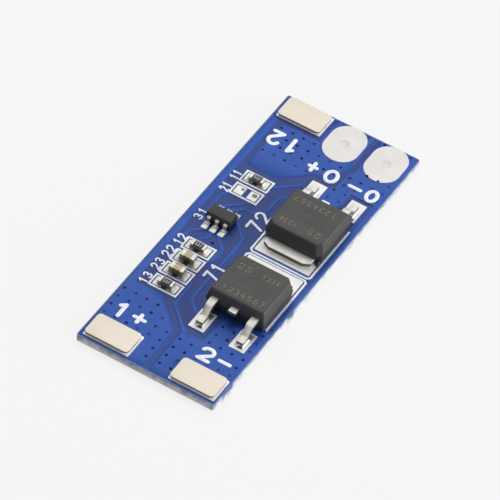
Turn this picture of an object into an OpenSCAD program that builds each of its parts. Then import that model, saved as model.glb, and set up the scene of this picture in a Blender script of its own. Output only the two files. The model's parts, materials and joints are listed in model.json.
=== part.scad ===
// Battery management board for two cells in series
// A long circuit board with three spot-weld tabs and two oval output pads, two power transistors
// lying tab to tab, a six-legged control chip and a column of chip resistors and capacitors.
//
// Plan positions are measured from the board's front left corner: x to the right along the front
// (cell) end, y towards the back (output) end. The model's origin is the middle of the underside.

/* [Board] */
// Width of the board
board_w = 15.5; // [15.2:0.1:20]
// Length of the board
board_l = 40.6; // [40.4:0.1:60]
// Thickness of the glass-fibre laminate
board_t = 0.8; // [0.4:0.1:1.6]
// Rounding of the board's corners
corner_r = 0.2; // [0.1:0.05:0.4]
// Diameter of the small plated holes that stitch the copper layers
via_d = 0.32; // [0.2:0.02:0.4]
// Spacing of the small plated holes in their grids
via_pitch = 1.27; // [1.1:0.01:1.4]
// How far the break-off nubs stand out of the right edge
nub_out = 0.2; // [0.1:0.05:0.4]
// Slope length at each end of a break-off nub
nub_slope = 0.25; // [0.1:0.05:0.4]

/* [Copper] */
// Thickness of the copper
copper_t = 0.07; // [0.035:0.005:0.14]
// Bare laminate between the copper and the board's edge
edge_gap = 0.15; // [0.1:0.05:0.3]
// Bare laminate between two copper areas
pour_gap = 0.55; // [0.3:0.05:0.7]
// Bare laminate between the two cell areas at the front
front_gap = 0.65; // [0.4:0.05:0.9]
// Width of a signal track
track_w = 0.42; // [0.25:0.01:0.5]
// Width of the copper rails along the long edges
rail_w = 0.85; // [0.4:0.05:1]
// Copper that shows past a bare land
land_rim = 0.08; // [0.04:0.01:0.12]
// Thickness of the tin on a land
tin_t = 0.04; // [0.02:0.01:0.08]
// Thickness of the solder bed under a part
solder_t = 0.05; // [0.02:0.01:0.1]

/* [Weld tabs] */
// Width of a spot-weld tab
weld_w = 4.95; // [4:0.05:5.4]
// Length of a spot-weld tab
weld_l = 2.95; // [2:0.05:3.4]
// Thickness of a spot-weld tab
weld_t = 0.25; // [0.15:0.05:0.5]
// Corner radius of a spot-weld tab
weld_r = 0.55; // [0.2:0.05:1]
// Bare land that shows past the tab on each side
weld_rim = 0.18; // [0.12:0.01:0.3]
// Distance from a weld land to the board's long edge
weld_side = 0.3; // [0.2:0.05:0.6]
// Distance from the two front weld lands to the front edge
weld_front = 0.38; // [0.2:0.02:0.6]
// Distance from the middle tap's land to the back edge
weld_back = 0.05; // [0.05:0.05:0.6]

/* [Output pads] */
// Length of an oval output pad
out_l = 5.4; // [4.5:0.1:6]
// Gap between the two output pads
out_gap = 0.98; // [0.6:0.02:1.4]
// Gap between the middle tap's land and the first output pad
tap_gap = 0.68; // [0.4:0.02:1]
// Distance from the right output pad to the right edge
out_side = 0.5; // [0.3:0.05:0.8]
// Distance from the output pads to the back edge
out_back = 0.05; // [0:0.01:0.3]
// Thickness of the solder coat on an output pad
out_tin_t = 0.06; // [0.05:0.01:0.3]
// Hole in the middle of each output pad, filled with solder
out_hole_d = 1; // [0.6:0.1:1.4]
// Depth of the hollow in the middle of an output pad
out_dimple = 0.03; // [0.01:0.01:0.04]

/* [Power transistors] */
// Body width at the mould's parting line
q_w = 6.6; // [6:0.05:6.8]
// Body length at the mould's parting line
q_l = 6.2; // [5.8:0.05:6.3]
// Body height
q_h = 2.3; // [2:0.05:2.6]
// How much each side of the body leans in, from parting line to top
q_draft = 0.3; // [0.1:0.01:0.4]
// Height of the parting line
q_part_h = 1; // [0.9:0.05:1.3]
// Width of the drain tab
q_tab_w = 5.35; // [5:0.05:5.5]
// How far the drain tab stands out of the body
q_tab_out = 1.1; // [0.8:0.05:1.25]
// Thickness of the drain tab and the leads
q_metal_t = 0.5; // [0.4:0.02:0.6]
// Spacing of the three lead positions
q_pitch = 2.286; // [2.2:0.002:2.3]
// Width of a lead at its foot
q_lead_w = 0.8; // [0.6:0.02:0.9]
// Reach of a lead from the body to its toe
q_lead_out = 2.76; // [2.6:0.02:3]
// Length of a lead's foot
q_foot = 1.05; // [0.8:0.05:1.1]
// Length of a lead's upper level part
q_shoulder = 0.9; // [0.7:0.05:1.1]
// Height of a lead's middle where it leaves the body
q_exit_h = 1.2; // [1:0.05:1.4]
// Length of the cut centre stub
q_stub = 0.8; // [0.5:0.05:1]
// Distance from the transistors' centre line to the right edge
q_side = 4.2; // [4.1:0.05:4.4]
// Width of the land under a drain tab
drain_land_w = 6.22; // [5.6:0.02:6.4]
// Length of the land under a drain tab
drain_land_l = 5.8; // [5:0.1:6]
// Width of the land under a lead
lead_land_w = 1.72; // [1.2:0.02:1.8]
// Length of the land under a lead
lead_land_l = 2.72; // [2.2:0.02:3]
// Land that shows past a drain tab's end
drain_land_past = 1; // [0.5:0.05:1.2]
// Land that shows past a lead's toe
lead_land_past = 0.58; // [0.3:0.02:0.8]
// Gap between the two drain lands
drain_land_gap = 0.93; // [0.85:0.01:1.4]

/* [Control chip] */
// Body width
u_w = 2.9; // [2.8:0.05:3]
// Body length
u_l = 1.6; // [1.5:0.05:1.7]
// Body height
u_h = 1.1; // [0.9:0.05:1.3]
// How much each side of the body leans in
u_draft = 0.12; // [0.05:0.01:0.2]
// Spacing of the legs
u_pitch = 0.95; // [0.9:0.01:1]
// Width of a leg
u_leg_w = 0.42; // [0.3:0.02:0.5]
// Thickness of a leg
u_leg_t = 0.15; // [0.1:0.01:0.2]
// Size over the toes of both rows of legs
u_span = 2.8; // [2.7:0.05:3]
// Height of a leg's middle where it leaves the body
u_exit_h = 0.62; // [0.5:0.02:0.7]
// Length of a leg's foot
u_foot = 0.34; // [0.25:0.01:0.45]
// Length of a leg's upper level part
u_shoulder = 0.16; // [0.1:0.01:0.25]
// Width of the land under a leg
u_land_w = 0.62; // [0.4:0.02:0.7]
// Length of the land under a leg
u_land_l = 1.05; // [0.8:0.05:1.2]
// Land that shows past a leg's toe
u_land_past = 0.5; // [0.2:0.05:0.6]
// Distance from the chip's middle to the left edge
u_side = 3.58; // [3.4:0.02:3.8]
// How far the chip's middle lies behind the middle of the transistor pair
u_behind = 1.78; // [1.5:0.01:2]

/* [Chip resistors and capacitors] */
// Length of a chip part
chip_l = 1.6; // [1.5:0.05:1.7]
// Width of a chip part
chip_w = 0.8; // [0.7:0.05:0.9]
// Height of a chip resistor
resistor_h = 0.5; // [0.4:0.05:0.6]
// Height of a chip capacitor
capacitor_h = 0.8; // [0.6:0.05:0.95]
// Length of the metal ends
chip_end = 0.3; // [0.2:0.02:0.4]
// Thickness of the metal ends
end_t = 0.04; // [0.02:0.01:0.06]
// Length of a chip part's land
land_l = 1; // [0.8:0.05:1.1]
// Width of a chip part's land
land_w = 1.15; // [0.9:0.05:1.25]
// Spacing of a chip part's two lands
land_pitch = 1.54; // [1.4:0.02:1.7]
// Spacing of the chip parts in their column
chip_pitch = 2.03; // [1.98:0.01:2.1]
// Distance from the chip column's middle to the left edge
chip_side = 3.7; // [3.6:0.05:3.9]
// Distance from the control chip forward to the nearest chip part
chip_before = 4.56; // [4.4:0.01:4.8]
// Distance from the control chip back to the nearest chip part
chip_behind = 4.74; // [4.5:0.01:5]

/* [White ink] */
// Thickness of the ink over the copper
ink_t = 0.03; // [0.01:0.01:0.05]
// Width of an ink line
ink_w = 0.2; // [0.12:0.01:0.24]
// Length of an ink box round a chip part, between line centres
box_l = 3.04; // [2.9:0.02:3.1]
// Width of an ink box round a chip part, between line centres
box_w = 1.58; // [1.56:0.01:1.66]
// Length of the side lines of a transistor's ink frame
frame_l = 8; // [5:0.1:8.4]
// Gap between a drain land and the side lines of its ink frame
frame_gap = 0.17; // [0.1:0.01:0.3]

/* [Hidden] */
$fn = 40;

// Heights above the top of the laminate
land_z = copper_t + tin_t;
seat_z = land_z + solder_t;

// Weld lands: middles in plan
weld_land_w = weld_w + 2 * weld_rim;
weld_land_l = weld_l + 2 * weld_rim;
weld_left_x = weld_side + weld_land_w / 2;
weld_right_x = board_w - weld_left_x;
weld_front_y = weld_front + weld_land_l / 2;
weld_back_y = board_l - weld_back - weld_land_l / 2;
weld_places = [[weld_left_x, weld_front_y], [weld_right_x, weld_front_y], [weld_left_x, weld_back_y]];
// The tabs are soldered a little off the middle of their lands
tab_places = weld_places + [[0, -0.1], [0.06, -0.1], [0, -0.09]];

// Output pads share the room beside the middle tap's land: width and middles in plan
out_w = (board_w - weld_side - weld_land_w - tap_gap - out_gap - out_side) / 2;
out_y = board_l - out_back - out_l / 2;
out_minus_x = board_w - out_side - out_w / 2;
out_plus_x = out_minus_x - out_w - out_gap;

// Transistors: the pair stands midway between the front weld lands and the output pads, with
// the lands' places measured from the body's middle
pair_y = (weld_front + weld_land_l + out_y - out_l / 2) / 2;
q_x = board_w - q_side;
q_toe = q_l / 2 + q_lead_out;
q_tab_end = q_l / 2 + q_tab_out;
q_lead_land = [lead_land_w, lead_land_l];
q_tab_land = [drain_land_w, drain_land_l];
q_lead_land_y = -q_toe - lead_land_past + lead_land_l / 2;
q_tab_land_y = q_tab_end + drain_land_past - drain_land_l / 2;
q1_y = pair_y - drain_land_gap / 2 - q_tab_end - drain_land_past;
q2_land_mid = pair_y + drain_land_gap / 2 + q_tab_end + drain_land_past;
// The second transistor sits a little closer to the end of its drain land
q2_y = q2_land_mid - 0.36;
q2_lead_top = q2_land_mid - q_lead_land_y + lead_land_l / 2;

// Control chip: middle in plan, and its lands' size and place
u_x = u_side;
u_y = pair_y + u_behind;
u_land = [u_land_w, u_land_l];
u_land_y = u_span / 2 + u_land_past - u_land_l / 2;

// Chip parts: places along the column
r2_y = u_y - chip_before;
c2_y = r2_y - chip_pitch;
c3_y = c2_y - chip_pitch;
r3_y = c3_y - chip_pitch;
c1_y = u_y + chip_behind;
r1_y = c1_y + chip_pitch;
chip_rows = [r3_y, c3_y, c2_y, r2_y, c1_y, r1_y];

// Lines that bound the copper areas
low = edge_gap;
right = board_w - edge_gap;
far = board_l - edge_gap;
rail_x = low + rail_w;
split_left = board_w / 2 - front_gap / 2 - 0.05;
split_right = split_left + front_gap;
half_gap = pour_gap / 2;
plus_top = r3_y - box_w / 2 - ink_w / 2 - 0.35;
plus_cut = 3.35;
minus_top = q1_y - q_l / 2 + 0.35;
gate_clear = 0.5;
out_split_x = out_minus_x - (out_w + out_gap) / 2;

// Left lines of signal tracks
lane_1 = chip_side + box_l / 2 + ink_w / 2 + 0.35;
lane_2 = lane_1 + 2 * track_w + 0.12;
lane_0 = rail_x + 0.65;
// Low edge of the output area, and the hole grid's first column there
plus_low = r1_y + box_w / 2 + ink_w / 2 + 0.78;
back_left_col = 1.88;

// Grids of small holes: columns counted from the left edge or from the right edge
left_col = 0.6;
right_col = board_w - 0.68;
front_row = 1.52;
back_left_row = board_l - 8.37;
back_right_row = board_l - 6.56;
function grid(x0, y0, row, cols, side = 1) =
    [for (c = cols) [x0 + side * c * via_pitch, y0 + row * via_pitch]];
cell_plus_vias = concat(
    grid(left_col, front_row, 0, [5]), grid(left_col, front_row, 1, [5]),
    grid(left_col, front_row, 2, [0:5]), grid(left_col, front_row, 3, [0:5]),
    grid(left_col, front_row, 4, [0:4]), grid(left_col, front_row, 5, [0:3])
);
cell_minus_vias = concat(
    grid(right_col, front_row, 0, [4, 5], -1), grid(right_col, front_row, 1, [4, 5], -1),
    grid(right_col, front_row, 2, [0:5], -1), grid(right_col, front_row, 3, [0:5], -1),
    grid(right_col, front_row, 4, [0:3], -1), grid(right_col, front_row, 5, [0, 2, 3], -1),
    grid(right_col, front_row, 6, [0, 2, 3], -1), grid(right_col, front_row, 7, [0], -1)
);
output_plus_vias = concat(
    grid(back_left_col, back_left_row, 0, [0:4]), grid(back_left_col, back_left_row, 1, [0:6]),
    grid(back_left_col, back_left_row, 2, [0:6]), grid(back_left_col, back_left_row, 3, [0:3])
);
output_minus_vias = concat(
    [for (r = [-1:1], c = [0:(r == 1 ? 2 : 3)]) if (back_right_row + r * via_pitch > q2_lead_top + pour_gap)
        [right_col - c * via_pitch, back_right_row + r * via_pitch]],
    grid(q_x + 0.47, q2_lead_top - 1.11, 0, [0, 1], -1), grid(q_x + 0.47, q2_lead_top - 1.11, 1, [0, 1], -1)
);
edge_vias = [for (x = [out_plus_x, out_minus_x], s = [-1, 1]) [x + s * (out_w / 2 - 0.42), board_l - 0.4]];
// Only the holes that fall within their own copper are drilled
vias = concat(
    [for (p = cell_plus_vias) if (p[0] < split_left - via_d && p[1] < plus_top - via_d) p],
    [for (p = cell_minus_vias) if (p[0] > split_right + via_d && p[1] < minus_top - via_d) p],
    [for (p = output_plus_vias) if (p[0] < out_split_x - pour_gap
        && p[1] > (p[0] < lane_1 ? plus_low + via_d : q2_lead_top + 1.4 * via_d)) p],
    [for (p = output_minus_vias) if (p[0] > out_split_x - pour_gap) p],
    edge_vias, [[u_x + 0.85, u_y - 3.05]]
);
// Break-off nubs: distance from the front edge and length
nubs = [[1.4, 2.1], [13.9, 1.2]];

// ---- Plan shapes and small helpers ----

// Moves children to a place in plan, at a height above the laminate
module at(x, y, z = 0) translate([x - board_w / 2, y - board_l / 2, board_t + z]) children();

// Extrudes a plan shape from one height above the laminate to another
module layer(z0, z1) at(0, 0, z0) linear_extrude(z1 - z0) children();

module rect(x0, y0, x1, y1) translate([x0, y0]) square([x1 - x0, y1 - y0]);

module rounded(w, l, r) {
    square([w - 2 * r, l], center = true);
    square([w, l - 2 * r], center = true);
    for (x = [-1, 1], y = [-1, 1]) translate([x * (w / 2 - r), y * (l / 2 - r)]) circle(r);
}

// A bar of width w whose two ends are half circles
module oval(w, l) {
    square([w, l - w], center = true);
    for (y = [-1, 1]) translate([0, y * (l - w) / 2]) circle(w / 2, $fn = 72);
}

// One straight bar of a line, from p to q
module bar(p, q, w) {
    d = q - p;
    translate(p) rotate(atan2(d[1], d[0])) translate([0, -w / 2]) square([norm(d), w]);
}

// A line of constant width through points, rounded at its bends and square at its ends
module stroke(points, w) {
    for (i = [0:len(points) - 2]) bar(points[i], points[i + 1], w);
    if (len(points) > 2) for (i = [1:len(points) - 2]) translate(points[i]) circle(w / 2);
}

module via_circles() for (p = vias) translate(p) circle(via_d / 2, $fn = 24);

module out_hole_circles() for (x = [out_plus_x, out_minus_x]) translate([x, out_y]) circle(out_hole_d / 2);

module chip_land_shapes(grow = 0)
    for (y = chip_rows, s = [-1, 1])
        translate([chip_side + s * land_pitch / 2, y])
            square([land_l, land_w] + [grow, grow] * 2, center = true);

module u_land_shapes(grow = 0)
    for (i = [-1:1], s = [-1, 1])
        translate([u_x + i * u_pitch, u_y + s * u_land_y]) square(u_land + [grow, grow] * 2, center = true);

// Transistor lands from the body's middle, leads towards the front
module q_lead_land_shape(side, grow = 0)
    translate([side * q_pitch, q_lead_land_y]) square(q_lead_land + [grow, grow] * 2, center = true);

module q_tab_land_shape(grow = 0)
    translate([0, q_tab_land_y]) square(q_tab_land + [grow, grow] * 2, center = true);

module q1_plan() translate([q_x, q1_y]) children();
module q2_plan() translate([q_x, q2_y]) rotate(180) children();
module q2_land_plan() translate([q_x, q2_land_mid]) rotate(180) children();

// ---- Circuit board ----

module nub_shape(y, len)
    polygon([[board_w - corner_r, y], [board_w, y], [board_w + nub_out, y + nub_slope],
             [board_w + nub_out, y + len - nub_slope], [board_w, y + len], [board_w - corner_r, y + len]]);

module circuit_board() color([0.16, 0.24, 0.5])
    layer(-board_t, 0) difference() {
        union() {
            translate([board_w / 2, board_l / 2]) rounded(board_w, board_l, corner_r);
            for (n = nubs) nub_shape(n[0], n[1]);
        }
        via_circles();
        out_hole_circles();
    }

// ---- Copper under the mask ----

module cell_plus_shape()
    polygon([[low, low], [split_left, low], [split_left, plus_top - plus_cut],
             [split_left - plus_cut, plus_top], [rail_x, plus_top],
             [rail_x, weld_back_y - weld_land_l / 2 - half_gap],
             [low, weld_back_y - weld_land_l / 2 - half_gap]]);

// The area under the first transistor's source lead, cut back round its gate land
module cell_minus_shape() {
    gate_right = q_x - q_pitch + q_lead_land[0] / 2 + gate_clear;
    gate_low = q1_y + q_lead_land_y - q_lead_land[1] / 2 - 1.6 * gate_clear;
    polygon([[split_right, low], [right, low], [right, minus_top], [gate_right, minus_top],
             [gate_right, gate_low], [split_right + 0.4, gate_low], [split_right, gate_low - 0.4]]);
    stroke([[chip_side + land_pitch / 2 + 0.5, c3_y], [lane_1 - 0.6, c3_y], [lane_1, c3_y - 0.6],
            [lane_1, gate_low + split_right - lane_1 + 0.1],
            [split_right + 0.45, gate_low - 0.35]], track_w);
}

module middle_tap_shape()
    rect(low, weld_back_y - weld_land_l / 2 - land_rim, weld_left_x + weld_land_w / 2 + land_rim, far);

// Runs round the middle tap's land and up to the gap between the two output pads
module output_plus_shape() {
    left = rail_x + pour_gap;
    top = weld_back_y - weld_land_l / 2 - pour_gap;
    step_x = weld_left_x + weld_land_w / 2 + half_gap;
    cut = q2_lead_top + land_rim + pour_gap + 0.12 - plus_low;
    side_x = out_split_x - half_gap;
    polygon([[left, plus_low], [lane_1 - 0.5, plus_low], [lane_1 - 0.5 + cut, plus_low + cut],
             [side_x - 0.45, plus_low + cut], [side_x - 0.45, out_y - out_l / 2 - 0.5],
             [side_x, out_y - out_l / 2], [side_x, far], [step_x, far], [step_x, top], [left, top]]);
}

// Holds the second transistor's source land, the right pad and the rail along the right edge
module output_minus_shape() {
    lead_top = q2_lead_top;
    lead_low = lead_top - lead_land_l;
    source_left = q_x - q_pitch - q_lead_land[0] / 2 - land_rim;
    gate_left = q_x + q_pitch - q_lead_land[0] / 2 - gate_clear;
    left = out_split_x + half_gap;
    rail_left = right - rail_w / 2;
    polygon([[source_left, lead_low - land_rim], [gate_left, lead_low - land_rim],
             [gate_left, lead_top + gate_clear], [rail_left, lead_top + gate_clear],
             [rail_left, minus_top + pour_gap], [right, minus_top + pour_gap], [right, far], [left, far],
             [left, out_y - out_l / 2], [left - 0.45, out_y - out_l / 2 - 0.5],
             [left - 0.45, lead_top + gate_clear], [source_left + q_lead_land[0], lead_top + land_rim],
             [source_left, lead_top + land_rim]]);
}

module drain_shape() {
    grow = land_rim;
    y0 = q1_y + q_tab_land_y - q_tab_land[1] / 2 - grow;
    y1 = q2_land_mid - q_tab_land_y + q_tab_land[1] / 2 + grow;
    rect(q_x - q_tab_land[0] / 2 - grow, y0, q_x + q_tab_land[0] / 2 + grow, y1);
}

module pour_shapes() {
    cell_plus_shape();
    cell_minus_shape();
    middle_tap_shape();
    output_plus_shape();
    output_minus_shape();
    drain_shape();
}

// Signal tracks, with the copper under the small lands and the two gate lands
module track_shapes() {
    back = u_y + u_land_y;
    front = u_y - u_land_y;
    chip_left = chip_side - land_pitch / 2;
    chip_right = chip_side + land_pitch / 2;
    gate_1 = [q_x - q_pitch, q1_y + q_lead_land_y];
    gate_2 = [q_x + q_pitch, q2_land_mid - q_lead_land_y];
    source_2 = [q_x - q_pitch, gate_2[1]];
    // Control chip to the first transistor's gate
    stroke([[u_x + u_pitch, back - 0.2], [u_x + u_pitch + 0.4, back - 0.6],
            [lane_2, back - 0.6 - (lane_2 - u_x - u_pitch - 0.4)],
            [lane_2, gate_1[1] + gate_1[0] - lane_2 - 0.5], gate_1 - [0, 0.5]], track_w);
    // Control chip to the capacitor and resistor beside it
    stroke([[u_x + u_pitch, front], [u_x + u_pitch, front - 0.75],
            [lane_1, front - 0.75 - (lane_1 - u_x - u_pitch)], [lane_1, c2_y + 1.2],
            [lane_1 - 1.2, c2_y]], track_w);
    stroke([[u_x, front], [u_x, front - 1.5], [chip_left, front - 1.5 - (u_x - chip_left)],
            [chip_left, r2_y]], track_w);
    stroke([[u_x - u_pitch, front], [u_x - u_pitch, front - 0.6],
            [lane_0, front - 0.6 - (u_x - u_pitch - lane_0)], [lane_0, c2_y + 1],
            [chip_left, c2_y]], track_w);
    // Control chip up to the unfilled place, the second gate and the left side
    stroke([[u_x - u_pitch, back], [u_x - u_pitch, back + 0.4],
            [chip_right, back + 0.4 + chip_right - u_x + u_pitch], [chip_right, c1_y]], track_w);
    stroke([[u_x, back], [u_x, back + 0.3], [u_x + 1.1, back + 1.4], [lane_2 - 1, back + 1.4],
            [lane_2, back + 2.4], [lane_2, gate_2[1] - 2.8], [lane_2 + 0.9, gate_2[1] - 1.9],
            [gate_2[0], gate_2[1] - 1.9], gate_2], track_w);
    stroke([[u_x - u_pitch, front], [lane_0, front + 1], [lane_0, back + 1.8],
            [chip_left, back + 1.8 + chip_left - lane_0], [chip_left, c1_y]], track_w);
    // Last resistor to the second source
    stroke([[chip_right, r1_y], [lane_1 - 0.45, r1_y],
            [lane_1 - 0.45 + source_2[1] - r1_y, source_2[1]], source_2], track_w);
    chip_land_shapes(land_rim);
    u_land_shapes(land_rim);
    q1_plan() q_lead_land_shape(-1, land_rim);
    q2_land_plan() q_lead_land_shape(-1, land_rim);
}

module copper(tone) color(tone) layer(0, copper_t) difference() {
    children();
    via_circles();
    out_hole_circles();
}

mask_tone = [0.25, 0.36, 0.66];
module cell_plus_copper() copper(mask_tone) cell_plus_shape();
module cell_minus_copper() copper(mask_tone) cell_minus_shape();
module middle_tap_copper() copper(mask_tone) middle_tap_shape();
module output_plus_copper() copper(mask_tone) output_plus_shape();
module output_minus_copper() copper(mask_tone) output_minus_shape();
module drain_copper() copper(mask_tone) drain_shape();
module signal_tracks() copper(mask_tone) difference() {
    track_shapes();
    pour_shapes();
}

// ---- Tinned lands ----

module tin(t = tin_t) color([0.9, 0.9, 0.92]) layer(copper_t, copper_t + t) difference() {
    children();
    via_circles();
}

module weld_lands() tin() for (p = weld_places)
    translate(p) square([weld_land_w, weld_land_l], center = true);

module output_land(x) tin(out_tin_t) difference() {
    translate([x, out_y]) oval(out_w, out_l);
    translate([x, out_y]) circle(out_hole_d / 2);
}
module output_plus_land() output_land(out_plus_x);
module output_minus_land() output_land(out_minus_x);

module transistor_lands() tin() {
    q1_plan() q_tab_land_shape();
    q2_land_plan() q_tab_land_shape();
    for (s = [-1, 1]) {
        q1_plan() q_lead_land_shape(s);
        q2_land_plan() q_lead_land_shape(s);
    }
}

module chip_lands() tin() chip_land_shapes();
module control_chip_lands() tin() u_land_shapes();

// Solder that fills the output pads' holes, a little hollow on top
module solder_plugs() color([0.85, 0.85, 0.86]) for (x = [out_plus_x, out_minus_x])
    at(x, out_y, -board_t) cylinder(h = board_t + copper_t + out_tin_t - out_dimple, d = out_hole_d);

// ---- White ink ----

// Ink reaches down to the laminate beside the copper and lies on the copper where it crosses it
module ink() color([0.93, 0.95, 1]) {
    layer(0, copper_t) difference() {
        children();
        pour_shapes();
        track_shapes();
        via_circles();
    }
    layer(copper_t, copper_t + ink_t) difference() {
        children();
        via_circles();
    }
}

// Three sides of a frame round a drain land, from the body's middle
module q_frame_shape(gap) {
    x = q_tab_land[0] / 2 + frame_gap + ink_w / 2;
    y = q_tab_land_y + q_tab_land[1] / 2 + gap + ink_w / 2;
    r = 0.25;
    low_y = y - frame_l;
    stroke([[-x, low_y], [-x, y - r], [-x + r, y], [x - r, y], [x, y - r], [x, low_y]], ink_w);
}

module transistor_frames_ink() ink() {
    q1_plan() q_frame_shape(0.1);
    q2_land_plan() q_frame_shape(0.28);
}

module box_shape(y) translate([chip_side, y]) difference() {
    square([box_l + ink_w, box_w + ink_w], center = true);
    square([box_l - ink_w, box_w - ink_w], center = true);
}

module chip_boxes_ink() ink() for (y = chip_rows) box_shape(y);

// ---- Weld tabs ----

module weld_solder() color([0.75, 0.75, 0.76]) layer(land_z, seat_z) for (p = tab_places)
    translate(p) rounded(weld_w + 0.02, weld_l + 0.02, weld_r);

module weld_tab(p) color([0.9, 0.87, 0.8]) layer(seat_z, seat_z + weld_t)
    translate(p) rounded(weld_w, weld_l, weld_r);

module cell_plus_tab() weld_tab(tab_places[0]);
module cell_minus_tab() weld_tab(tab_places[1]);
module middle_tap_tab() weld_tab(tab_places[2]);

// ---- Power transistors ----
// Drawn round the body's middle, seated at z = 0, leads towards -y, drain tab towards +y

module q1_place() at(q_x, q1_y, seat_z) children();
module q2_place() at(q_x, q2_y, seat_z) rotate(180) children();

// A side view drawn as height over length, carried across a width about x = 0
module across(w) translate([-w / 2, 0, 0]) rotate([90, 0, 90]) linear_extrude(w) children();

// Cross-section of a moulding, widest at its parting line: mid and top are the reach of the
// front side there, lean is how much less it reaches at the bottom, back is the other side's reach
module mould_section(lean, mid, top, back, part_h, h, edge_r) {
    back_in = mid - top;
    polygon([[-back + lean, 0], [mid - lean, 0], [mid, part_h], [top, h - edge_r], [top - edge_r, h],
             [-back + back_in + edge_r, h], [-back + back_in, h - edge_r], [-back, part_h]]);
}

module q_body_solid() {
    edge_r = 0.12;
    corner_cut = 0.5;
    // Distance of the cut corners from the middle, and how much they lean in
    cut_mid = (q_w / 2 + q_l / 2 - corner_cut) / sqrt(2);
    cut_top = cut_mid - 2 * q_draft / sqrt(2);
    intersection() {
        across(q_w + 1) mould_section(0.06, q_l / 2, q_l / 2 - q_draft, q_l / 2, q_part_h, q_h, edge_r);
        rotate(90) across(q_l + 1)
            mould_section(0.06, q_w / 2, q_w / 2 - q_draft, q_w / 2, q_part_h, q_h, edge_r);
        // Both corners at the drain side are cut off
        rotate(-45) across(3 * q_w) mould_section(0.06, cut_mid, cut_top, 2 * q_w, q_part_h, q_h, edge_r);
        rotate(45) across(3 * q_w) mould_section(0.06, cut_mid, cut_top, 2 * q_w, q_part_h, q_h, edge_r);
    }
}

// Tab with cut corners, stepped up inside the moulding to the cut centre stub
module q_drain_solid() {
    cut_x = 0.72;
    cut_y = 0.42;
    inner = -q_l / 5;
    linear_extrude(q_metal_t) polygon([[-q_tab_w / 2, inner], [q_tab_w / 2, inner],
        [q_tab_w / 2, q_tab_end - cut_y], [q_tab_w / 2 - cut_x, q_tab_end],
        [-q_tab_w / 2 + cut_x, q_tab_end], [-q_tab_w / 2, q_tab_end - cut_y]]);
    across(q_lead_w) stroke([[inner, q_metal_t / 2], [inner - 0.4, q_metal_t / 2], [inner - 0.9, q_exit_h],
        [-q_l / 2 - q_stub, q_exit_h]], q_metal_t);
    // Wider end of the stub, left by the cut tie bar
    translate([-q_lead_w / 2 - 0.05, -q_l / 2 - q_stub, q_exit_h - q_metal_t / 2])
        cube([q_lead_w + 0.1, 0.7 * q_stub, q_metal_t]);
}

// Side view of a gull-wing lead from inside the moulding to its toe
module q_lead_solid(side) translate([side * q_pitch, 0, 0]) {
    bend = -q_l / 2 - q_shoulder;
    across(q_lead_w) stroke([[-0.3 * q_l, q_exit_h], [bend, q_exit_h], [-q_toe + q_foot, q_metal_t / 2],
        [-q_toe, q_metal_t / 2]], q_metal_t);
    translate([-q_lead_w / 2 - 0.03, bend, q_exit_h - q_metal_t / 2])
        cube([q_lead_w + 0.06, 0.6 * q_shoulder, q_metal_t]);
}

module q_body() color([0.23, 0.23, 0.24]) difference() {
    q_body_solid();
    q_drain_solid();
    for (s = [-1, 1]) q_lead_solid(s);
    // Mark of the mould's ejector pin
    translate([0, 0, q_h - 0.05]) cylinder(h = 0.1, d = 1.3);
}

module q_metal() color([0.78, 0.77, 0.74]) children();

// A block of solder that narrows upwards, cleared for the metal that stands in it
module solder_skirt(size_low, size_top, h) hull() {
    linear_extrude(0.01) square(size_low, center = true);
    translate([0, 0, h - 0.01]) linear_extrude(0.01) square(size_top, center = true);
}

module q_solder() color([0.86, 0.86, 0.87]) {
    difference() {
        union() {
            // Round the drain tab, on its land
            translate([0, q_tab_end - 0.35, -solder_t])
                solder_skirt([q_tab_w + 0.5, 1.5], [q_tab_w - 0.7, 0.5], solder_t + 0.3);
            // Round each foot
            for (s = [-1, 1]) translate([s * q_pitch, -q_toe + 0.55, -solder_t])
                solder_skirt([q_lead_w + 0.6, 1.9], [q_lead_w + 0.1, 1.2], solder_t + 0.25);
            translate([-q_tab_w / 2, -0.4, -solder_t]) cube([q_tab_w, q_tab_end, solder_t]);
        }
        q_drain_solid();
        q_body_solid();
        for (s = [-1, 1]) q_lead_solid(s);
    }
}

module q1_body() q1_place() q_body();
module q1_drain_frame() q1_place() q_metal() q_drain_solid();
module q1_gate_lead() q1_place() q_metal() q_lead_solid(-1);
module q1_source_lead() q1_place() q_metal() q_lead_solid(1);
module q1_solder() q1_place() q_solder();
module q2_body() q2_place() q_body();
module q2_drain_frame() q2_place() q_metal() q_drain_solid();
module q2_gate_lead() q2_place() q_metal() q_lead_solid(-1);
module q2_source_lead() q2_place() q_metal() q_lead_solid(1);
module q2_solder() q2_place() q_solder();

// ---- Control chip ----

module u_place() at(u_x, u_y, seat_z) children();

module u_leg_solid(i, side) rotate(side > 0 ? 180 : 0) translate([i * u_pitch, 0, 0]) {
    across(u_leg_w) stroke([[-u_l / 3, u_exit_h], [-u_l / 2 - u_shoulder, u_exit_h],
        [-u_span / 2 + u_foot, u_leg_t / 2], [-u_span / 2, u_leg_t / 2]], u_leg_t);
}

module u_legs() for (i = [-1:1], s = [-1, 1]) u_leg_solid(i, s);

module control_chip_body() u_place() color([0.27, 0.26, 0.26]) difference() {
    lift = 0.08;
    part_h = 0.6 - lift;
    translate([0, 0, lift]) intersection() {
        across(u_w + 1) mould_section(0.08, u_l / 2, u_l / 2 - u_draft, u_l / 2, part_h, u_h - lift, 0.06);
        rotate(90) across(u_l + 1)
            mould_section(0.08, u_w / 2, u_w / 2 - u_draft, u_w / 2, part_h, u_h - lift, 0.06);
    }
    u_legs();
}

module control_chip_legs() u_place() color([0.8, 0.8, 0.8]) u_legs();

// Wedge of solder in front of a toe or a metal end, hollow on its slope, rising up to y = 0
module solder_wedge(w, l, h) across(w)
    polygon([[-l, 0], [0, 0], [0, h], [-0.2 * l, 0.6 * h], [-0.55 * l, 0.22 * h], [-l, 0.02]]);

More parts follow.
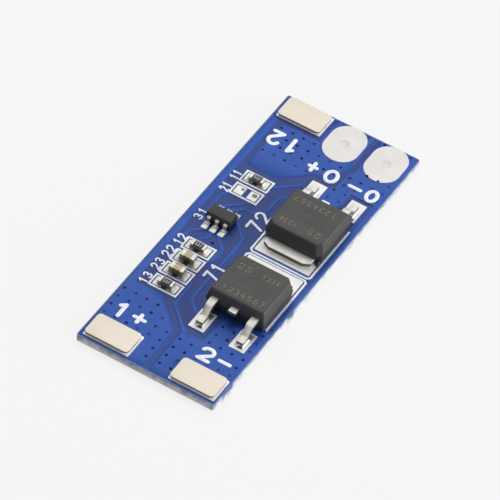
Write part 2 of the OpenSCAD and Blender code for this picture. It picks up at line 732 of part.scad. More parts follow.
module control_chip_solder() u_place() color([0.86, 0.86, 0.87]) difference() {
    for (i = [-1:1], s = [-1, 1]) rotate(s > 0 ? 180 : 0) translate([i * u_pitch, 0, -solder_t]) {
        toe = -u_span / 2;
        translate([-u_leg_w / 2 - 0.03, toe - 0.3, 0]) cube([u_leg_w + 0.06, 0.8, solder_t]);
        translate([0, toe, solder_t]) solder_wedge(u_leg_w, 0.3, u_leg_t);
    }
    u_legs();
}

// ---- Chip resistors and capacitors ----

module chip_place(y) at(chip_side, y, seat_z) children();

// Two metal caps that wrap the ends of a block of height h
module chip_ends(h) for (s = [-1, 1]) difference() {
    translate([s * (chip_l - chip_end) / 2, 0, h / 2]) cube([chip_end, chip_w, h], center = true);
    chip_block(h);
}

// Ceramic block inside the metal ends
module chip_block(h)
    translate([-chip_l / 2 + end_t, -chip_w / 2 + end_t, end_t])
        cube([chip_l - 2 * end_t, chip_w - 2 * end_t, h - 2 * end_t]);

// Dark coat over the resistor's middle, seated on its block
module overcoat(h) translate([0, 0, h - end_t])
    linear_extrude(end_t) square([chip_l - 2 * chip_end, chip_w - 2 * end_t], center = true);

module resistor_block(y) chip_place(y) color([0.9, 0.9, 0.88]) chip_block(resistor_h);
module resistor_overcoat(y) chip_place(y) color([0.12, 0.12, 0.13]) overcoat(resistor_h);
module resistor_ends(y) chip_place(y) color([0.82, 0.82, 0.83]) chip_ends(resistor_h);
module capacitor_block(y) chip_place(y) color([0.72, 0.63, 0.42]) chip_block(capacitor_h);
module capacitor_ends(y) chip_place(y) color([0.8, 0.8, 0.78]) chip_ends(capacitor_h);

module r1_block() resistor_block(r1_y);
module r1_overcoat() resistor_overcoat(r1_y);
module r1_ends() resistor_ends(r1_y);
module r2_block() resistor_block(r2_y);
module r2_overcoat() resistor_overcoat(r2_y);
module r2_ends() resistor_ends(r2_y);
module r3_block() resistor_block(r3_y);
module r3_overcoat() resistor_overcoat(r3_y);
module r3_ends() resistor_ends(r3_y);
module c2_block() capacitor_block(c2_y);
module c2_ends() capacitor_ends(c2_y);
module c3_block() capacitor_block(c3_y);
module c3_ends() capacitor_ends(c3_y);

// Bed under each metal end and a hollow wedge in front of it
module end_solder(h) for (s = [0, 180]) rotate(s) {
    outer = land_pitch / 2 + land_l / 2;
    reach = outer - chip_l / 2 - 0.05;
    translate([chip_l / 2 - chip_end, -chip_w / 2, -solder_t]) cube([chip_end + reach, chip_w, solder_t]);
    translate([chip_l / 2, 0, 0]) rotate(90) solder_wedge(chip_w, reach, h);
}

module chip_solder() color([0.86, 0.86, 0.87]) {
    for (y = [r1_y, r2_y, r3_y]) chip_place(y) end_solder(resistor_h * 0.8);
    for (y = [c2_y, c3_y]) chip_place(y) end_solder(capacitor_h * 0.55);
}

// Low pads of solder on the two lands of the unfilled place
module empty_place_solder() color([0.86, 0.86, 0.87]) for (s = [-1, 1])
    at(chip_side + s * land_pitch / 2, c1_y, land_z)
        linear_extrude(solder_t) rounded(land_l - 0.1, land_w - 0.1, 0.15);

circuit_board();
cell_plus_copper();
cell_minus_copper();
middle_tap_copper();
output_plus_copper();
output_minus_copper();
drain_copper();
signal_tracks();
weld_lands();
output_plus_land();
output_minus_land();
transistor_lands();
chip_lands();
control_chip_lands();
solder_plugs();
transistor_frames_ink();
chip_boxes_ink();
weld_solder();
cell_plus_tab();
cell_minus_tab();
middle_tap_tab();
q1_body();
q1_drain_frame();
q1_gate_lead();
q1_source_lead();
q1_solder();
q2_body();
q2_drain_frame();
q2_gate_lead();
q2_source_lead();
q2_solder();
control_chip_body();
control_chip_legs();
control_chip_solder();
r1_block();
r1_overcoat();
r1_ends();
r2_block();
r2_overcoat();
r2_ends();
r3_block();
r3_overcoat();
r3_ends();
c2_block();
c2_ends();
c3_block();
c3_ends();
chip_solder();
empty_place_solder();
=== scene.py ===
# %% [markdown]
# # A battery management board, dressed for a close look
# The solids of this board already exist: a blue circuit board, copper areas, two power transistors, a
# control chip and a column of tiny chip parts. This lesson takes those solids as a fixed frame, gives each
# one a finish, and replaces the ones whose real edges are soft, such as mouldings, bent leads and solder.
# Every new surface is worked out with numpy as a whole grid of points, which keeps each shape one formula.

import json
import math

import bpy
import numpy as np
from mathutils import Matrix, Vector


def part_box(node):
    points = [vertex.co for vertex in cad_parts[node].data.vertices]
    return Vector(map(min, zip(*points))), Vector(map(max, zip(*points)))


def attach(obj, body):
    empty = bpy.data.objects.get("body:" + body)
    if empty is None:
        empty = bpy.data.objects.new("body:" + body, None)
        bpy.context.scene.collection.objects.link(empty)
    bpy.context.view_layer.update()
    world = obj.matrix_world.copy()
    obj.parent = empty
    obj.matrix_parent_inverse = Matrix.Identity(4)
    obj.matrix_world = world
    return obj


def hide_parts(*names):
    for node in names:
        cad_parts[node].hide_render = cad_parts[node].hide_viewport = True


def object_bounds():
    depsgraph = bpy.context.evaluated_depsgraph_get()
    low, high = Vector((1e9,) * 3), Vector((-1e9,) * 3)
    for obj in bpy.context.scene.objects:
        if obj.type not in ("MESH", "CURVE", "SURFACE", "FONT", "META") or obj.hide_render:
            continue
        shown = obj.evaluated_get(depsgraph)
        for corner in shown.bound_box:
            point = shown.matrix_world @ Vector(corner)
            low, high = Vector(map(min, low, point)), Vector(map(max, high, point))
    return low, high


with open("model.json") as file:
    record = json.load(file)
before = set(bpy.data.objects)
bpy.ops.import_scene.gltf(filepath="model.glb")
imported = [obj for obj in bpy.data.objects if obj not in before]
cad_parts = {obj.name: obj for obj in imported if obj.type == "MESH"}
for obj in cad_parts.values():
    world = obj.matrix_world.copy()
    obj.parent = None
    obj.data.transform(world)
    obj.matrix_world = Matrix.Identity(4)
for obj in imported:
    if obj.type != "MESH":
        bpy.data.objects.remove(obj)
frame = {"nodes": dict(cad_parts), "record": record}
cad_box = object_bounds()
MM = 0.001
size_mm = [round(float(high - low) / MM, 2) for low, high in zip(cad_box[0], cad_box[1])]
print("solids in the frame:", len(frame["nodes"]), "overall size in mm:", size_mm)

# %% [markdown]
# ## Ask the solids where they are
# Every piece made below has to sit exactly where its solid sits, so places are read from the frame and not
# typed in. Three small helpers answer the questions that come up all the time: between which corners does a
# solid lie, where is its middle when it is seen from above, and how high does it stand? All shapes are worked
# out in millimetres and turned into metres only when the mesh is made.

# %% Measure the solids
def box_mm(node):
    """Lowest and highest corner of a solid, in millimetres."""
    low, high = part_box(node)
    return np.array(low) / MM, np.array(high) / MM


def plan_of(node):
    """Middle and half size of a solid's box seen from above, in millimetres."""
    low, high = box_mm(node)
    return (low + high)[:2] / 2, (high - low)[:2] / 2


def levels_of(node):
    """Heights of a solid's underside and top, in millimetres."""
    low, high = box_mm(node)
    return low[2], high[2]


FRONT_LEFT = box_mm("circuit_board")[0][:2]
HALF_WIDTH, HALF_LENGTH = (-FRONT_LEFT).tolist()
TOP, COPPER_TOP, LAND_TOP = (levels_of(n)[1] for n in ("circuit_board", "drain_copper", "transistor_lands"))
print("board top at", round(TOP, 3), "copper top at", round(COPPER_TOP, 3), "land top at", round(LAND_TOP, 3))

# %% [markdown]
# ## Grids of points become closed skins
# A bent lead, a moulding and a bead of solder look different, but each is a stack of rings: closed outlines
# with the same number of points, joined ring to ring by four-cornered faces. One helper joins them. It could
# be done with Blender's own extrude and bridge tools, but a grid has no hidden state and is quick to change.
# The helper also adds up the volume: if that comes out negative, the skin is inside out and is turned round.

# %% Join rings into a closed solid
def grid_faces(rows, cols, wrap_rows):
    """Faces of a grid: point (r, c) joins (r, c + 1), (r + 1, c + 1) and (r + 1, c). Columns wrap round, and
    rows wrap only where asked."""
    r = np.arange(rows if wrap_rows else rows - 1)[:, None]
    c = np.arange(cols)[None, :]
    r_next, c_next = (r + 1) % rows, (c + 1) % cols
    corners = [r * cols + c, r * cols + c_next, r_next * cols + c_next, r_next * cols + c]
    return np.stack(corners, -1).reshape(-1, 4)


def fan_volume(points, polygons):
    """Six times the signed volume under polygons: the sum of p0 . (p1 x p2) over each polygon's fan."""
    p = points[polygons]
    return float(np.sum(p[:, :1] * np.cross(p[:, 1:-1], p[:, 2:])))


def solid(rings, loop=False):
    """Rings of shape (rows, cols, 3) as points and outward faces. A loop joins its last ring to its first;
    anything else is closed by a flat lid at each end."""
    rows, cols, _ = rings.shape
    points = rings.reshape(-1, 3)
    quads = grid_faces(rows, cols, loop)
    total = fan_volume(points, quads)
    faces = quads.tolist()
    if not loop:
        lids = np.array([np.arange(cols)[::-1], np.arange(cols) + (rows - 1) * cols])
        total += fan_volume(points, lids)
        faces += lids.tolist()
    if total < 0:
        faces = [f[::-1] for f in faces]
    return points, faces


print("a tube of 3 rings with 8 points each has", len(grid_faces(3, 8, False)), "faces")

# %% [markdown]
# ## Rounded outlines from support lines
# Almost every part on a board is a convex shape with rounded corners: tabs, mouldings, feet, chips. Instead
# of listing points, I name the direction each side faces and how far it lies from the middle. A corner's arc
# is centred where its two sides cross after both are moved in by the radius. Because the formula works on
# whole arrays, one call can give many outlines at once, each a little smaller: that is how draft angles are
# made.

# %% Outlines and circles
BOX = [-90, 0, 90, 180]


def outline(facing, reach, radius, steps=6, between=0):
    """Convex outline with rounded corners. Side i faces angle facing[i] in degrees at distance reach[..., i].
    Corner centre: the crossing of neighbouring sides moved in by radius. Corner point: centre + radius *
    (cos, sin) of an angle that runs from one side's direction to the next. Between corners, points may be
    added that divide each straight side evenly."""
    a = np.radians(np.asarray(facing, float))
    turn = (np.roll(a, -1) - a) % (2 * np.pi)
    b = a + turn
    h = np.asarray(reach, float) - radius
    h_next = np.roll(h, -1, axis=-1)
    cx = (h * np.sin(b) - h_next * np.sin(a)) / np.sin(turn)
    cy = (h_next * np.cos(a) - h * np.cos(b)) / np.sin(turn)
    angle = a[:, None] + turn[:, None] * np.linspace(0, 1, steps)
    x = cx[..., None] + radius * np.cos(angle)
    y = cy[..., None] + radius * np.sin(angle)
    arcs = np.stack([x, y], -1)
    if between:
        share = (np.arange(between) + 1)[:, None] / (between + 1)
        last, first = arcs[..., -1:, :], np.roll(arcs, -1, axis=-3)[..., :1, :]
        arcs = np.concatenate([arcs, last + (first - last) * share], -2)
    return arcs.reshape(*h.shape[:-1], -1, 2)


def stand(plan, heights):
    """Outlines (rings, points, 2) lifted to their heights (rings,)."""
    z = np.broadcast_to(np.asarray(heights, float)[:, None, None], plan.shape[:-1] + (1,))
    return np.concatenate([plan, z], -1)


def sides(half_x, half_y):
    """How far the four sides of a rectangle lie from its middle, in the order of BOX."""
    return [half_y, half_x, half_y, half_x]


def turn_angles(count):
    """Evenly spread angles of one full turn."""
    return np.linspace(0, 2 * np.pi, count, endpoint=False)


def circles(radii, heights, angle):
    """One ring for each radius and height: x = r * cos(angle), y = r * sin(angle)."""
    r, z = np.asarray(radii, float)[:, None], np.asarray(heights, float)[:, None]
    return np.stack([r * np.cos(angle), r * np.sin(angle), z + 0 * angle], -1)


print("a square with rounded corners has", len(outline(BOX, sides(1, 1), 0.2)), "points")

# %% [markdown]
# ## Plates with rolled edges, and putting a shape in its place
# Most pieces are plates: outlines stacked from a lower to an upper height. A punched or moulded edge is never
# sharp, so the first and the last few outlines are smaller, by a quarter of a circle. Shapes are drawn round
# their own middle and then moved to the board; the second transistor and half of all legs are turned round.

# %% Plates, placing and pairs
def plate(facing, reach, radius, low, high, edge, steps=6, under=None):
    """Flat plate from low to high. Its edges are quarter rounds: inset = edge * (1 - cos t) while the height
    runs edge * sin t, for t from 90 degrees to 0 at the bottom and 0 to 90 at the top. The lower edge may
    have a size of its own, called under."""
    t = np.radians([0, 30, 60, 90])
    lower = edge if under is None else under
    inset = np.concatenate([lower * (1 - np.cos(t[::-1])), edge * (1 - np.cos(t))])
    height = np.concatenate([low + lower * (1 - np.sin(t[::-1])), high - edge * (1 - np.sin(t))])
    reaches = np.asarray(reach, float)[None, :] - inset[:, None]
    rings = [outline(facing, row, max(radius - cut, 0.2 * edge), steps) for row, cut in zip(reaches, inset)]
    return stand(np.array(rings), height)


def place(rings, x, y, z=0.0, half_turn=False):
    """Moves millimetre rings from a part's own middle to the board, turned by 180 degrees where asked."""
    spin = -1.0 if half_turn else 1.0
    return rings * [spin, spin, 1] + [x, y, z]


def both_ways(rings, x, y, z, loop=False):
    """A closed skin, and the same skin turned by half a turn about the point x, y."""
    return [solid(place(rings, x, y, z, turned), loop) for turned in (False, True)]


SLAB_EDGE = 0.015


def slab(x0, x1, y0, y1, low, high, radius=0.04):
    """A thin plate between two corners of the board."""
    rings = plate(BOX, sides((x1 - x0) / 2, (y1 - y0) / 2), radius, low, high, SLAB_EDGE, 4)
    return solid(place(rings, (x0 + x1) / 2, (y0 + y1) / 2))


print("a plate with rolled edges is a stack of", len(plate(BOX, sides(1, 1), 0.2, 0, 1, 0.05)), "outlines")

# %% [markdown]
# ## Bent strips
# A gull-wing lead is a strip of metal bent twice. The path is a few corner points, and each corner becomes an
# arc, as a press tool would make it. A rounded rectangle is then carried along the path: at each step it
# stands square to the direction of travel. Printed lines use the same paths, laid flat on the board.

# %% Paths with bends, strips and ribbons
def bent_path(corners, radius, steps=7):
    """Polyline whose inner corners are arcs. The arc starts radius * tan(turn / 2) before the corner, and its
    points sit radius from the centre on the inner side of the bend."""
    p = np.asarray(corners, float)
    parts = [p[:1]]
    for before, corner, after in zip(p[:-2], p[1:-1], p[2:]):
        d1 = (corner - before) / np.linalg.norm(corner - before)
        d2 = (after - corner) / np.linalg.norm(after - corner)
        turn = math.atan2(d1[0] * d2[1] - d1[1] * d2[0], float(d1 @ d2))
        room = 0.5 * min(np.linalg.norm(corner - before), np.linalg.norm(after - corner))
        r = min(radius, room / max(math.tan(abs(turn) / 2), 1e-6))
        side = math.copysign(1.0, turn)
        normal = np.array([-d1[1], d1[0]]) * side
        centre = corner - d1 * r * math.tan(abs(turn) / 2) + normal * r
        t = np.linspace(0, abs(turn), steps)[:, None]
        parts.append(centre + r * (-normal * np.cos(t) + d1 * np.sin(t)))
    parts.append(p[-1:])
    return np.concatenate(parts)


def along(path):
    """Unit directions of travel at each point of a path, averaged over its two neighbours."""
    d = np.gradient(path, axis=0)
    return d / np.linalg.norm(d, axis=1, keepdims=True)


def strip(path, width, thick, edge=0.05):
    """A strip bent in the y-z plane. Ring = path point + across * x + normal * thickness, where the section
    is a rounded rectangle of the local width and the path's normal is its direction turned by 90 degrees."""
    d = along(path)
    normal = np.stack([-d[:, 1], d[:, 0]], -1)
    half = np.broadcast_to(np.asarray(width, float) / 2, (len(path),))
    reach = np.stack([np.full(len(path), thick / 2), half, np.full(len(path), thick / 2), half], -1)
    section = outline(BOX, reach, edge, 3)
    y = path[:, None, 0] + normal[:, None, 0] * section[..., 1]
    z = path[:, None, 1] + normal[:, None, 1] * section[..., 1]
    return np.stack([section[..., 0], y, z], -1)


def ribbon(path, width, low, high):
    """A flat printed line with round ends. Each end runs on by width / 2 * sin t while the half width falls
    as cos t, so the line closes in a half circle. Its upper edge is bevelled by a hundredth of a
    millimetre."""
    bevel, flat_share = 0.01, 0.9
    t = np.radians([20, 40, 60, 75, 86])
    d = along(path)
    half = width / 2
    head = path[0] - d[0] * half * np.sin(t[::-1])[:, None]
    tail = path[-1] + d[-1] * half * np.sin(t)[:, None]
    line = np.concatenate([head, path, tail])
    d = np.concatenate([np.repeat(d[:1], len(t), 0), d, np.repeat(d[-1:], len(t), 0)])
    w = half * np.concatenate([np.cos(t[::-1]), np.ones(len(path)), np.cos(t)])[:, None]
    side = np.stack([-d[:, 1], d[:, 0]], -1) * w
    soft, brink = side * flat_share, high - bevel
    rows = [(side, low), (-side, low), (-side, brink), (-soft, high), (soft, high), (side, brink)]
    ring = [np.concatenate([line + s, np.full((len(line), 1), z)], 1) for s, z in rows]
    return np.stack(ring, 1)


print("a path with one bend has", len(bent_path([(0, 0), (1, 0), (1, 1)], 0.3)), "points")

# %% [markdown]
# ## Beads of solder
# Solder wets both metals and pulls itself into a hollow slope: steep where it climbs the part, thin where it
# runs out over the land. A ring round the part does this. Its inner edge follows the metal, its outer edge
# follows the land, and the height between them falls with a power greater than one. Where solder or flux lies
# by itself it draws together into a low cushion, whose highest point sits a little to one side.

# %% Rings and cushions
def solder_ring(inner, outer, low, climb, power=2.0, steps=8, lip=0.014):
    """Ring between two matched outlines. Plan = inner + (outer - inner) * t. Height = low + lip + climb *
    (1 - t) ** power, with climb given for each point round the ring. It closes under itself at height low."""
    t = np.linspace(0, 1, steps)[:, None]
    climb = np.broadcast_to(np.asarray(climb, float), (inner.shape[0],))
    plan = inner[None] + (outer - inner)[None] * t[..., None]
    z = low + lip + climb[None, :] * (1 - t) ** power
    top = np.concatenate([plan, z[..., None]], -1)
    base = [np.concatenate([edge, np.full((len(edge), 1), low)], 1)[None] for edge in (outer, inner)]
    return np.concatenate([top, *base])


def cushion(half_x, half_y, low, height):
    """Outlines that shrink as 1 - u while the height rises as sin(u * 90 degrees). Their middle moves
    by u times 0.5 half_x and 0.35 half_y, and one more outline just below makes the cushion's foot."""
    corner, foot = 0.12, 0.01
    u = np.linspace(0, 0.92, 9)[:, None]
    base = outline(BOX, sides(half_x, half_y), corner, 5)
    plan = base[None] * (1 - u[..., None]) + u[..., None] * [0.5 * half_x, 0.35 * half_y]
    rings = stand(plan, (low + height * np.sin(u * np.pi / 2))[:, 0])
    return np.concatenate([stand(base[None], [low - foot]), rings])


print("a cushion is a stack of", len(cushion(0.3, 0.2, 0, 0.1)), "outlines")

# %% [markdown]
# ## From numbers to an object
# Each finished piece is one object at the origin. It rides on the board's only body, takes one material, and
# hides the plain solids that it stands for. Keeping those lines in one helper means that no piece can miss
# one of them.

# %% Make a piece
def make_piece(name, solids, material, stands_for=(), sharp=32):
    """One object from several closed skins given in millimetres. Edges that turn by more than sharp degrees
    are shaded as creases, all others as smooth."""
    points, faces, start = [], [], 0
    for p, f in solids:
        points.append(p * MM)
        faces += [[i + start for i in face] for face in f]
        start += len(p)
    mesh = bpy.data.meshes.new(name)
    mesh.from_pydata(np.concatenate(points).tolist(), [], faces)
    mesh.polygons.foreach_set("use_smooth", np.ones(len(mesh.polygons), bool))
    mesh.set_sharp_from_angle(angle=math.radians(sharp))
    mesh.materials.append(material)
    mesh.validate()
    piece = bpy.data.objects.new(name, mesh)
    bpy.context.scene.collection.objects.link(piece)
    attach(piece, "root")
    if stands_for:
        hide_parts(*stands_for)
    print(name, "faces:", len(mesh.polygons))


# %% [markdown]
# ## Finishes
# A finish is a Principled shader whose colour and surface come from a few nodes. The nodes could be drawn by
# hand in the shader editor; written as small functions they can be shared by more than twenty finishes. Each
# adds one node to a tree, and most hand back the socket that carries its result. Noise reads Object
# coordinates, in metres, so a scale of 4000 means about four spots a millimetre.

# %% One function for each kind of node
def new_material(name):
    """An empty material with its node tree and its Principled shader."""
    material = bpy.data.materials.new(name)
    material.use_nodes = True
    tree = material.node_tree
    return material, tree, tree.nodes["Principled BSDF"]


def coordinates(tree, kind):
    """Where a point lies ("Object", in metres) or which way the surface faces there ("Normal")."""
    return tree.nodes.new("ShaderNodeTexCoord").outputs[kind]


def split(tree, vector):
    """The three numbers of a vector socket."""
    node = tree.nodes.new("ShaderNodeSeparateXYZ")
    tree.links.new(vector, node.inputs[0])
    return node.outputs


def noise(tree, scale, detail=3.0, roughness=0.55):
    """Noise over Object coordinates, in cells per metre."""
    node = tree.nodes.new("ShaderNodeTexNoise")
    node.inputs["Scale"].default_value = scale
    node.inputs["Detail"].default_value = detail
    node.inputs["Roughness"].default_value = roughness
    tree.links.new(coordinates(tree, "Object"), node.inputs["Vector"])
    return node.outputs["Fac"]


def ramp(tree, value, stops):
    """Colour ramp: stops are (position, colour)."""
    node = tree.nodes.new("ShaderNodeValToRGB")
    elements = node.color_ramp.elements
    while len(elements) < len(stops):
        elements.new(0.5)
    for element, (position, colour) in zip(elements, stops):
        element.position = position
        element.color = (*colour, 1)
    tree.links.new(value, node.inputs["Fac"])
    return node.outputs["Color"]


def bump(tree, shader, value, depth_mm):
    """Roughens the shader's normal by a value whose full swing is depth_mm deep."""
    node = tree.nodes.new("ShaderNodeBump")
    node.inputs["Distance"].default_value = depth_mm * MM
    tree.links.new(value, node.inputs["Height"])
    tree.links.new(node.outputs["Normal"], shader.inputs["Normal"])


print("the noise of a finish has", round(MM * 4000), "cells a millimetre at scale 4000")

# %% [markdown]
# ## Sums and choices inside a shader
# A shader has no if. Where a finish depends on place or direction, a number is worked out that is nought on
# one side and one on the other, and a Mix node blends two colours by it. A clamped multiply and add is the
# most useful step: it gives a slope that starts at one place and is complete at another.

# %% Arithmetic nodes
def math_node(tree, operation, *values, clamp=False):
    """One arithmetic node; the values are sockets or numbers."""
    node = tree.nodes.new("ShaderNodeMath")
    node.operation, node.use_clamp = operation, clamp
    for socket, value in zip(node.inputs, values):
        if isinstance(value, (int, float)):
            socket.default_value = value
        else:
            tree.links.new(value, socket)
    return node.outputs[0]


def size_of(tree, value):
    """A number without its sign."""
    return math_node(tree, "ABSOLUTE", value)


def rising(tree, length, start_mm, span_mm):
    """(length - start) / span, held between nought and one; a span below nought rises the other way."""
    return math_node(tree, "MULTIPLY_ADD", length, 1 / (span_mm * MM), -start_mm / span_mm, clamp=True)


def blend_colour(tree, factor, first, second):
    """First colour where factor is nought, second where it is one."""
    node = tree.nodes.new("ShaderNodeMix")
    node.data_type = "RGBA"
    tree.links.new(factor, node.inputs["Factor"])
    for name, colour in (("A", first), ("B", second)):
        socket = [i for i in node.inputs if i.name == name and i.type == "RGBA"][0]
        if isinstance(colour, tuple):
            socket.default_value = (*colour, 1)
        else:
            tree.links.new(colour, socket)
    return [o for o in node.outputs if o.type == "RGBA"][0]


print("the copper stands", round(COPPER_TOP - TOP, 3), "mm above the laminate")

# %% [markdown]
# ## The board under its blue mask
# The green or blue of a circuit board is a lacquer over everything except the lands. Over copper it looks
# bright, over bare glass-fibre it looks darker and more violet, and along the board's edge it runs out thin
# and pale. At the cut edge there is no lacquer at all: there the pale laminate shows, with the layers of its
# cloth. One material can do all of this if it asks which way the surface faces and how far out it lies: up
# and down get lacquer, sideways gets laminate on the outer walls, and the walls in the holes get a darker
# blue that is painted shade.

# %% Board finish
# in millimetres, but for the last one, which is a share of the noise
FRONT_COPPER_Y, FRONT_COPPER_SPAN, RIGHT_RIM_X = -13.2, -2.5, 6.95
RIM, RIM_FADE, RIM_RAGGED, CLOTH_FADE = 0.15, 0.08, 0.3, 0.45


def lacquer_colour(tree, x, y, out):
    """Two blues in slow patches. The brighter one stands where copper lies below the gaps: on the strip at
    the right, and in the front, in step with -y. Near the edge, by how far out the point lies plus noise, the
    lacquer turns pale."""
    gap = ramp(tree, noise(tree, 500), [(0.3, (0.027, 0.052, 0.200)), (0.7, (0.033, 0.060, 0.222))])
    bright = ramp(tree, noise(tree, 300), [(0.3, (0.025, 0.063, 0.250)), (0.7, (0.028, 0.068, 0.268))])
    in_front = rising(tree, y, FRONT_COPPER_Y, FRONT_COPPER_SPAN)
    at_right = math_node(tree, "GREATER_THAN", x, RIGHT_RIM_X * MM)
    blue = blend_colour(tree, math_node(tree, "MAXIMUM", in_front, at_right), gap, bright)
    ragged = math_node(tree, "MULTIPLY_ADD", noise(tree, 1800), RIM_RAGGED * MM, out)
    return blend_colour(tree, rising(tree, ragged, HALF_LENGTH - RIM_FADE, RIM), blue, (0.120, 0.175, 0.360))


def cloth_colour(tree, z):
    """Cut glass cloth: bluish specks near the top, pale layers near the bottom, by noise minus height."""
    layers = math_node(tree, "MULTIPLY_ADD", z, -CLOTH_FADE / (TOP * MM), noise(tree, 1100, 2.0, 0.5))
    tones = [(0.02, (0.27, 0.33, 0.56)), (0.22, (0.58, 0.61, 0.69)), (0.44, (0.90, 0.91, 0.93))]
    return ramp(tree, layers, tones)


def board_finish():
    """How far out a point lies is the larger of |x| + half length - half width and |y|, so all four edges
    read as the half length. A wall that lies within RIM of the edge is an outer wall and is bare cloth; any
    other wall is the inside of a hole and gets a darker blue, painted shade; the rest is lacquer."""
    material, tree, shader = new_material("blue_board")
    x, y, z = split(tree, coordinates(tree, "Object"))
    across = math_node(tree, "ADD", size_of(tree, x), (HALF_LENGTH - HALF_WIDTH) * MM)
    out = math_node(tree, "MAXIMUM", across, size_of(tree, y))
    sideways = math_node(tree, "LESS_THAN", size_of(tree, split(tree, coordinates(tree, "Normal"))[2]), 0.5)
    outer = math_node(tree, "GREATER_THAN", out, (HALF_LENGTH - RIM) * MM)
    bare = math_node(tree, "MULTIPLY", outer, sideways)
    hole = math_node(tree, "SUBTRACT", sideways, bare)
    # Painted shade: the walls in the holes get a darker copy of the lacquer's blue.
    skin = blend_colour(tree, hole, lacquer_colour(tree, x, y, out), (0.016, 0.032, 0.130))
    colour = blend_colour(tree, bare, skin, cloth_colour(tree, z))
    tree.links.new(colour, shader.inputs["Base Color"])
    shader.inputs["Roughness"].default_value = 0.45
    shader.inputs["Specular IOR Level"].default_value = 0.28
    bump(tree, shader, noise(tree, 3500, 3.0), 0.005)
    return material


BOARD_BLUE = board_finish()
print(BOARD_BLUE.name, "has", len(BOARD_BLUE.node_tree.nodes), "nodes")

# %% [markdown]
# ## Plain finishes
# Lacquer, ink, solder and flux need no questions about place. Each is two close colours in slow patches, with
# a fine grain in the surface, so that no area is dead flat in tone. Roughness decides most of the character:
# 0.4 gives the soft shine of tin, 0.6 the chalky look of print.

# %% Lacquer, ink, tin and solder
def finish(name, light, dark, rough, metal=0.0, patch=600, grain=9000, depth=0.004, spec=0.5, ease=0.15):
    """Two close colours in patches, and a grain with a depth in millimetres. Patch and grain are in cells per
    metre; the darker colour ends at 0.5 - ease of the noise and the lighter one begins at 0.5 + ease."""
    material, tree, shader = new_material(name)
    colour = ramp(tree, noise(tree, patch), [(0.5 - ease, dark), (0.5 + ease, light)])
    tree.links.new(colour, shader.inputs["Base Color"])
    shader.inputs["Roughness"].default_value = rough
    shader.inputs["Metallic"].default_value = metal
    shader.inputs["Specular IOR Level"].default_value = spec
    bump(tree, shader, noise(tree, grain, 4.0), depth)
    return material


COPPER_BLUE = finish("blue_copper", (0.025, 0.086, 0.380), (0.021, 0.078, 0.350), 0.42, patch=300, grain=2500,
                     depth=0.005, spec=0.28)
# Painted shade: the plugs' dark blues stand for the shade in the small holes.
SHADED_PLUG = finish("lacquer_in_holes_painted_shade", (0.036, 0.050, 0.240), (0.004, 0.010, 0.060), 0.5, patch=330, grain=4000,
              spec=0.15, ease=0.04)
# Dark plates: the bare strip round the drain lands, and painted shade inside the chips' printed boxes.
WINDOW_AND_SHADE = finish("bare_window_and_painted_shade", (0.105, 0.118, 0.175), (0.078, 0.088, 0.130), 0.6, patch=1500, spec=0.2)
INK = finish("white_ink", (0.86, 0.89, 0.96), (0.78, 0.82, 0.90), 0.6, patch=2500, depth=0.006)
TIN = finish("tin_coat", (0.82, 0.805, 0.79), (0.76, 0.745, 0.73), 0.45, 0.3, 500, 2500)
WIDE_TIN = finish("wide_tin_coat", (0.74, 0.72, 0.70), (0.68, 0.66, 0.64), 0.45, 0.3, 450, 1800, 0.006)
SUNK_TIN = finish("sunk_tin", (0.66, 0.64, 0.62), (0.60, 0.58, 0.57), 0.5, 0.3, 900, 2500)
SOLDER = finish("solder_bright", (0.88, 0.87, 0.83), (0.76, 0.75, 0.70), 0.46, 0.5, 2500, 3500, 0.005)
DULL_SOLDER = finish("flux_stained_solder", (0.34, 0.31, 0.20), (0.14, 0.125, 0.075), 0.5, 0.3, 6000, 6000,
                     0.006)
# Flux stains that also paint shade: in front of the toes and under the leads' slopes.
TOE_STAIN_AND_SHADE = finish("brown_flux_and_painted_shade", (0.150, 0.120, 0.085), (0.065, 0.055, 0.042), 0.4, 0.0, 5000, 6000, 0.006)
HEEL_STAIN_AND_SHADE = finish("grey_flux_and_painted_shade", (0.30, 0.30, 0.27), (0.14, 0.145, 0.135), 0.42, 0.3, 3500, 6000, 0.006)
print("finishes made so far:", len(bpy.data.materials))

# %% [markdown]
# ## Black and pale materials of the chips
# The control chip's compound, the glass coat on a resistor and its ceramic tile are plain finishes too. The
# burnt marks are the compound's own skin, turned brown and a little rougher.

# %% Compound, glass coat, ceramic tile and marks
CHIP_EPOXY = finish("chip_epoxy", (0.045, 0.043, 0.042), (0.037, 0.035, 0.035), 0.55, patch=1500, grain=16000,
                    depth=0.006, spec=0.4)
MARK = finish("burnt_mark", (0.215, 0.195, 0.135), (0.165, 0.150, 0.105), 0.7, patch=6000, grain=16000,
              spec=0.2)
OVERCOAT = finish("dark_glass_coat", (0.034, 0.033, 0.032), (0.024, 0.023, 0.023), 0.38, patch=5000)
ALUMINA = finish("alumina", (0.16, 0.16, 0.16), (0.10, 0.10, 0.11), 0.6, patch=4000, grain=12000)
ALUMINA_PALE = finish("pale_print", (0.46, 0.45, 0.43), (0.36, 0.35, 0.34), 0.6, patch=9000, grain=12000,
                      depth=0.002)
print("finishes made so far:", len(bpy.data.materials))

# %% [markdown]
# ## Finishes that darken where the part stands upright
# A sheared edge of a lead has no plating, and the flank of a moulding, a chip or a tab lies in its own shade.
# On the real board both read as a second, darker tone; here that tone is painted shade on every wall, and on
# the leads' cut edges it also stands for the bare metal. The shader asks for the upward part of the surface's
# direction and blends to the darker tone on walls, so one material serves a whole lead or body.

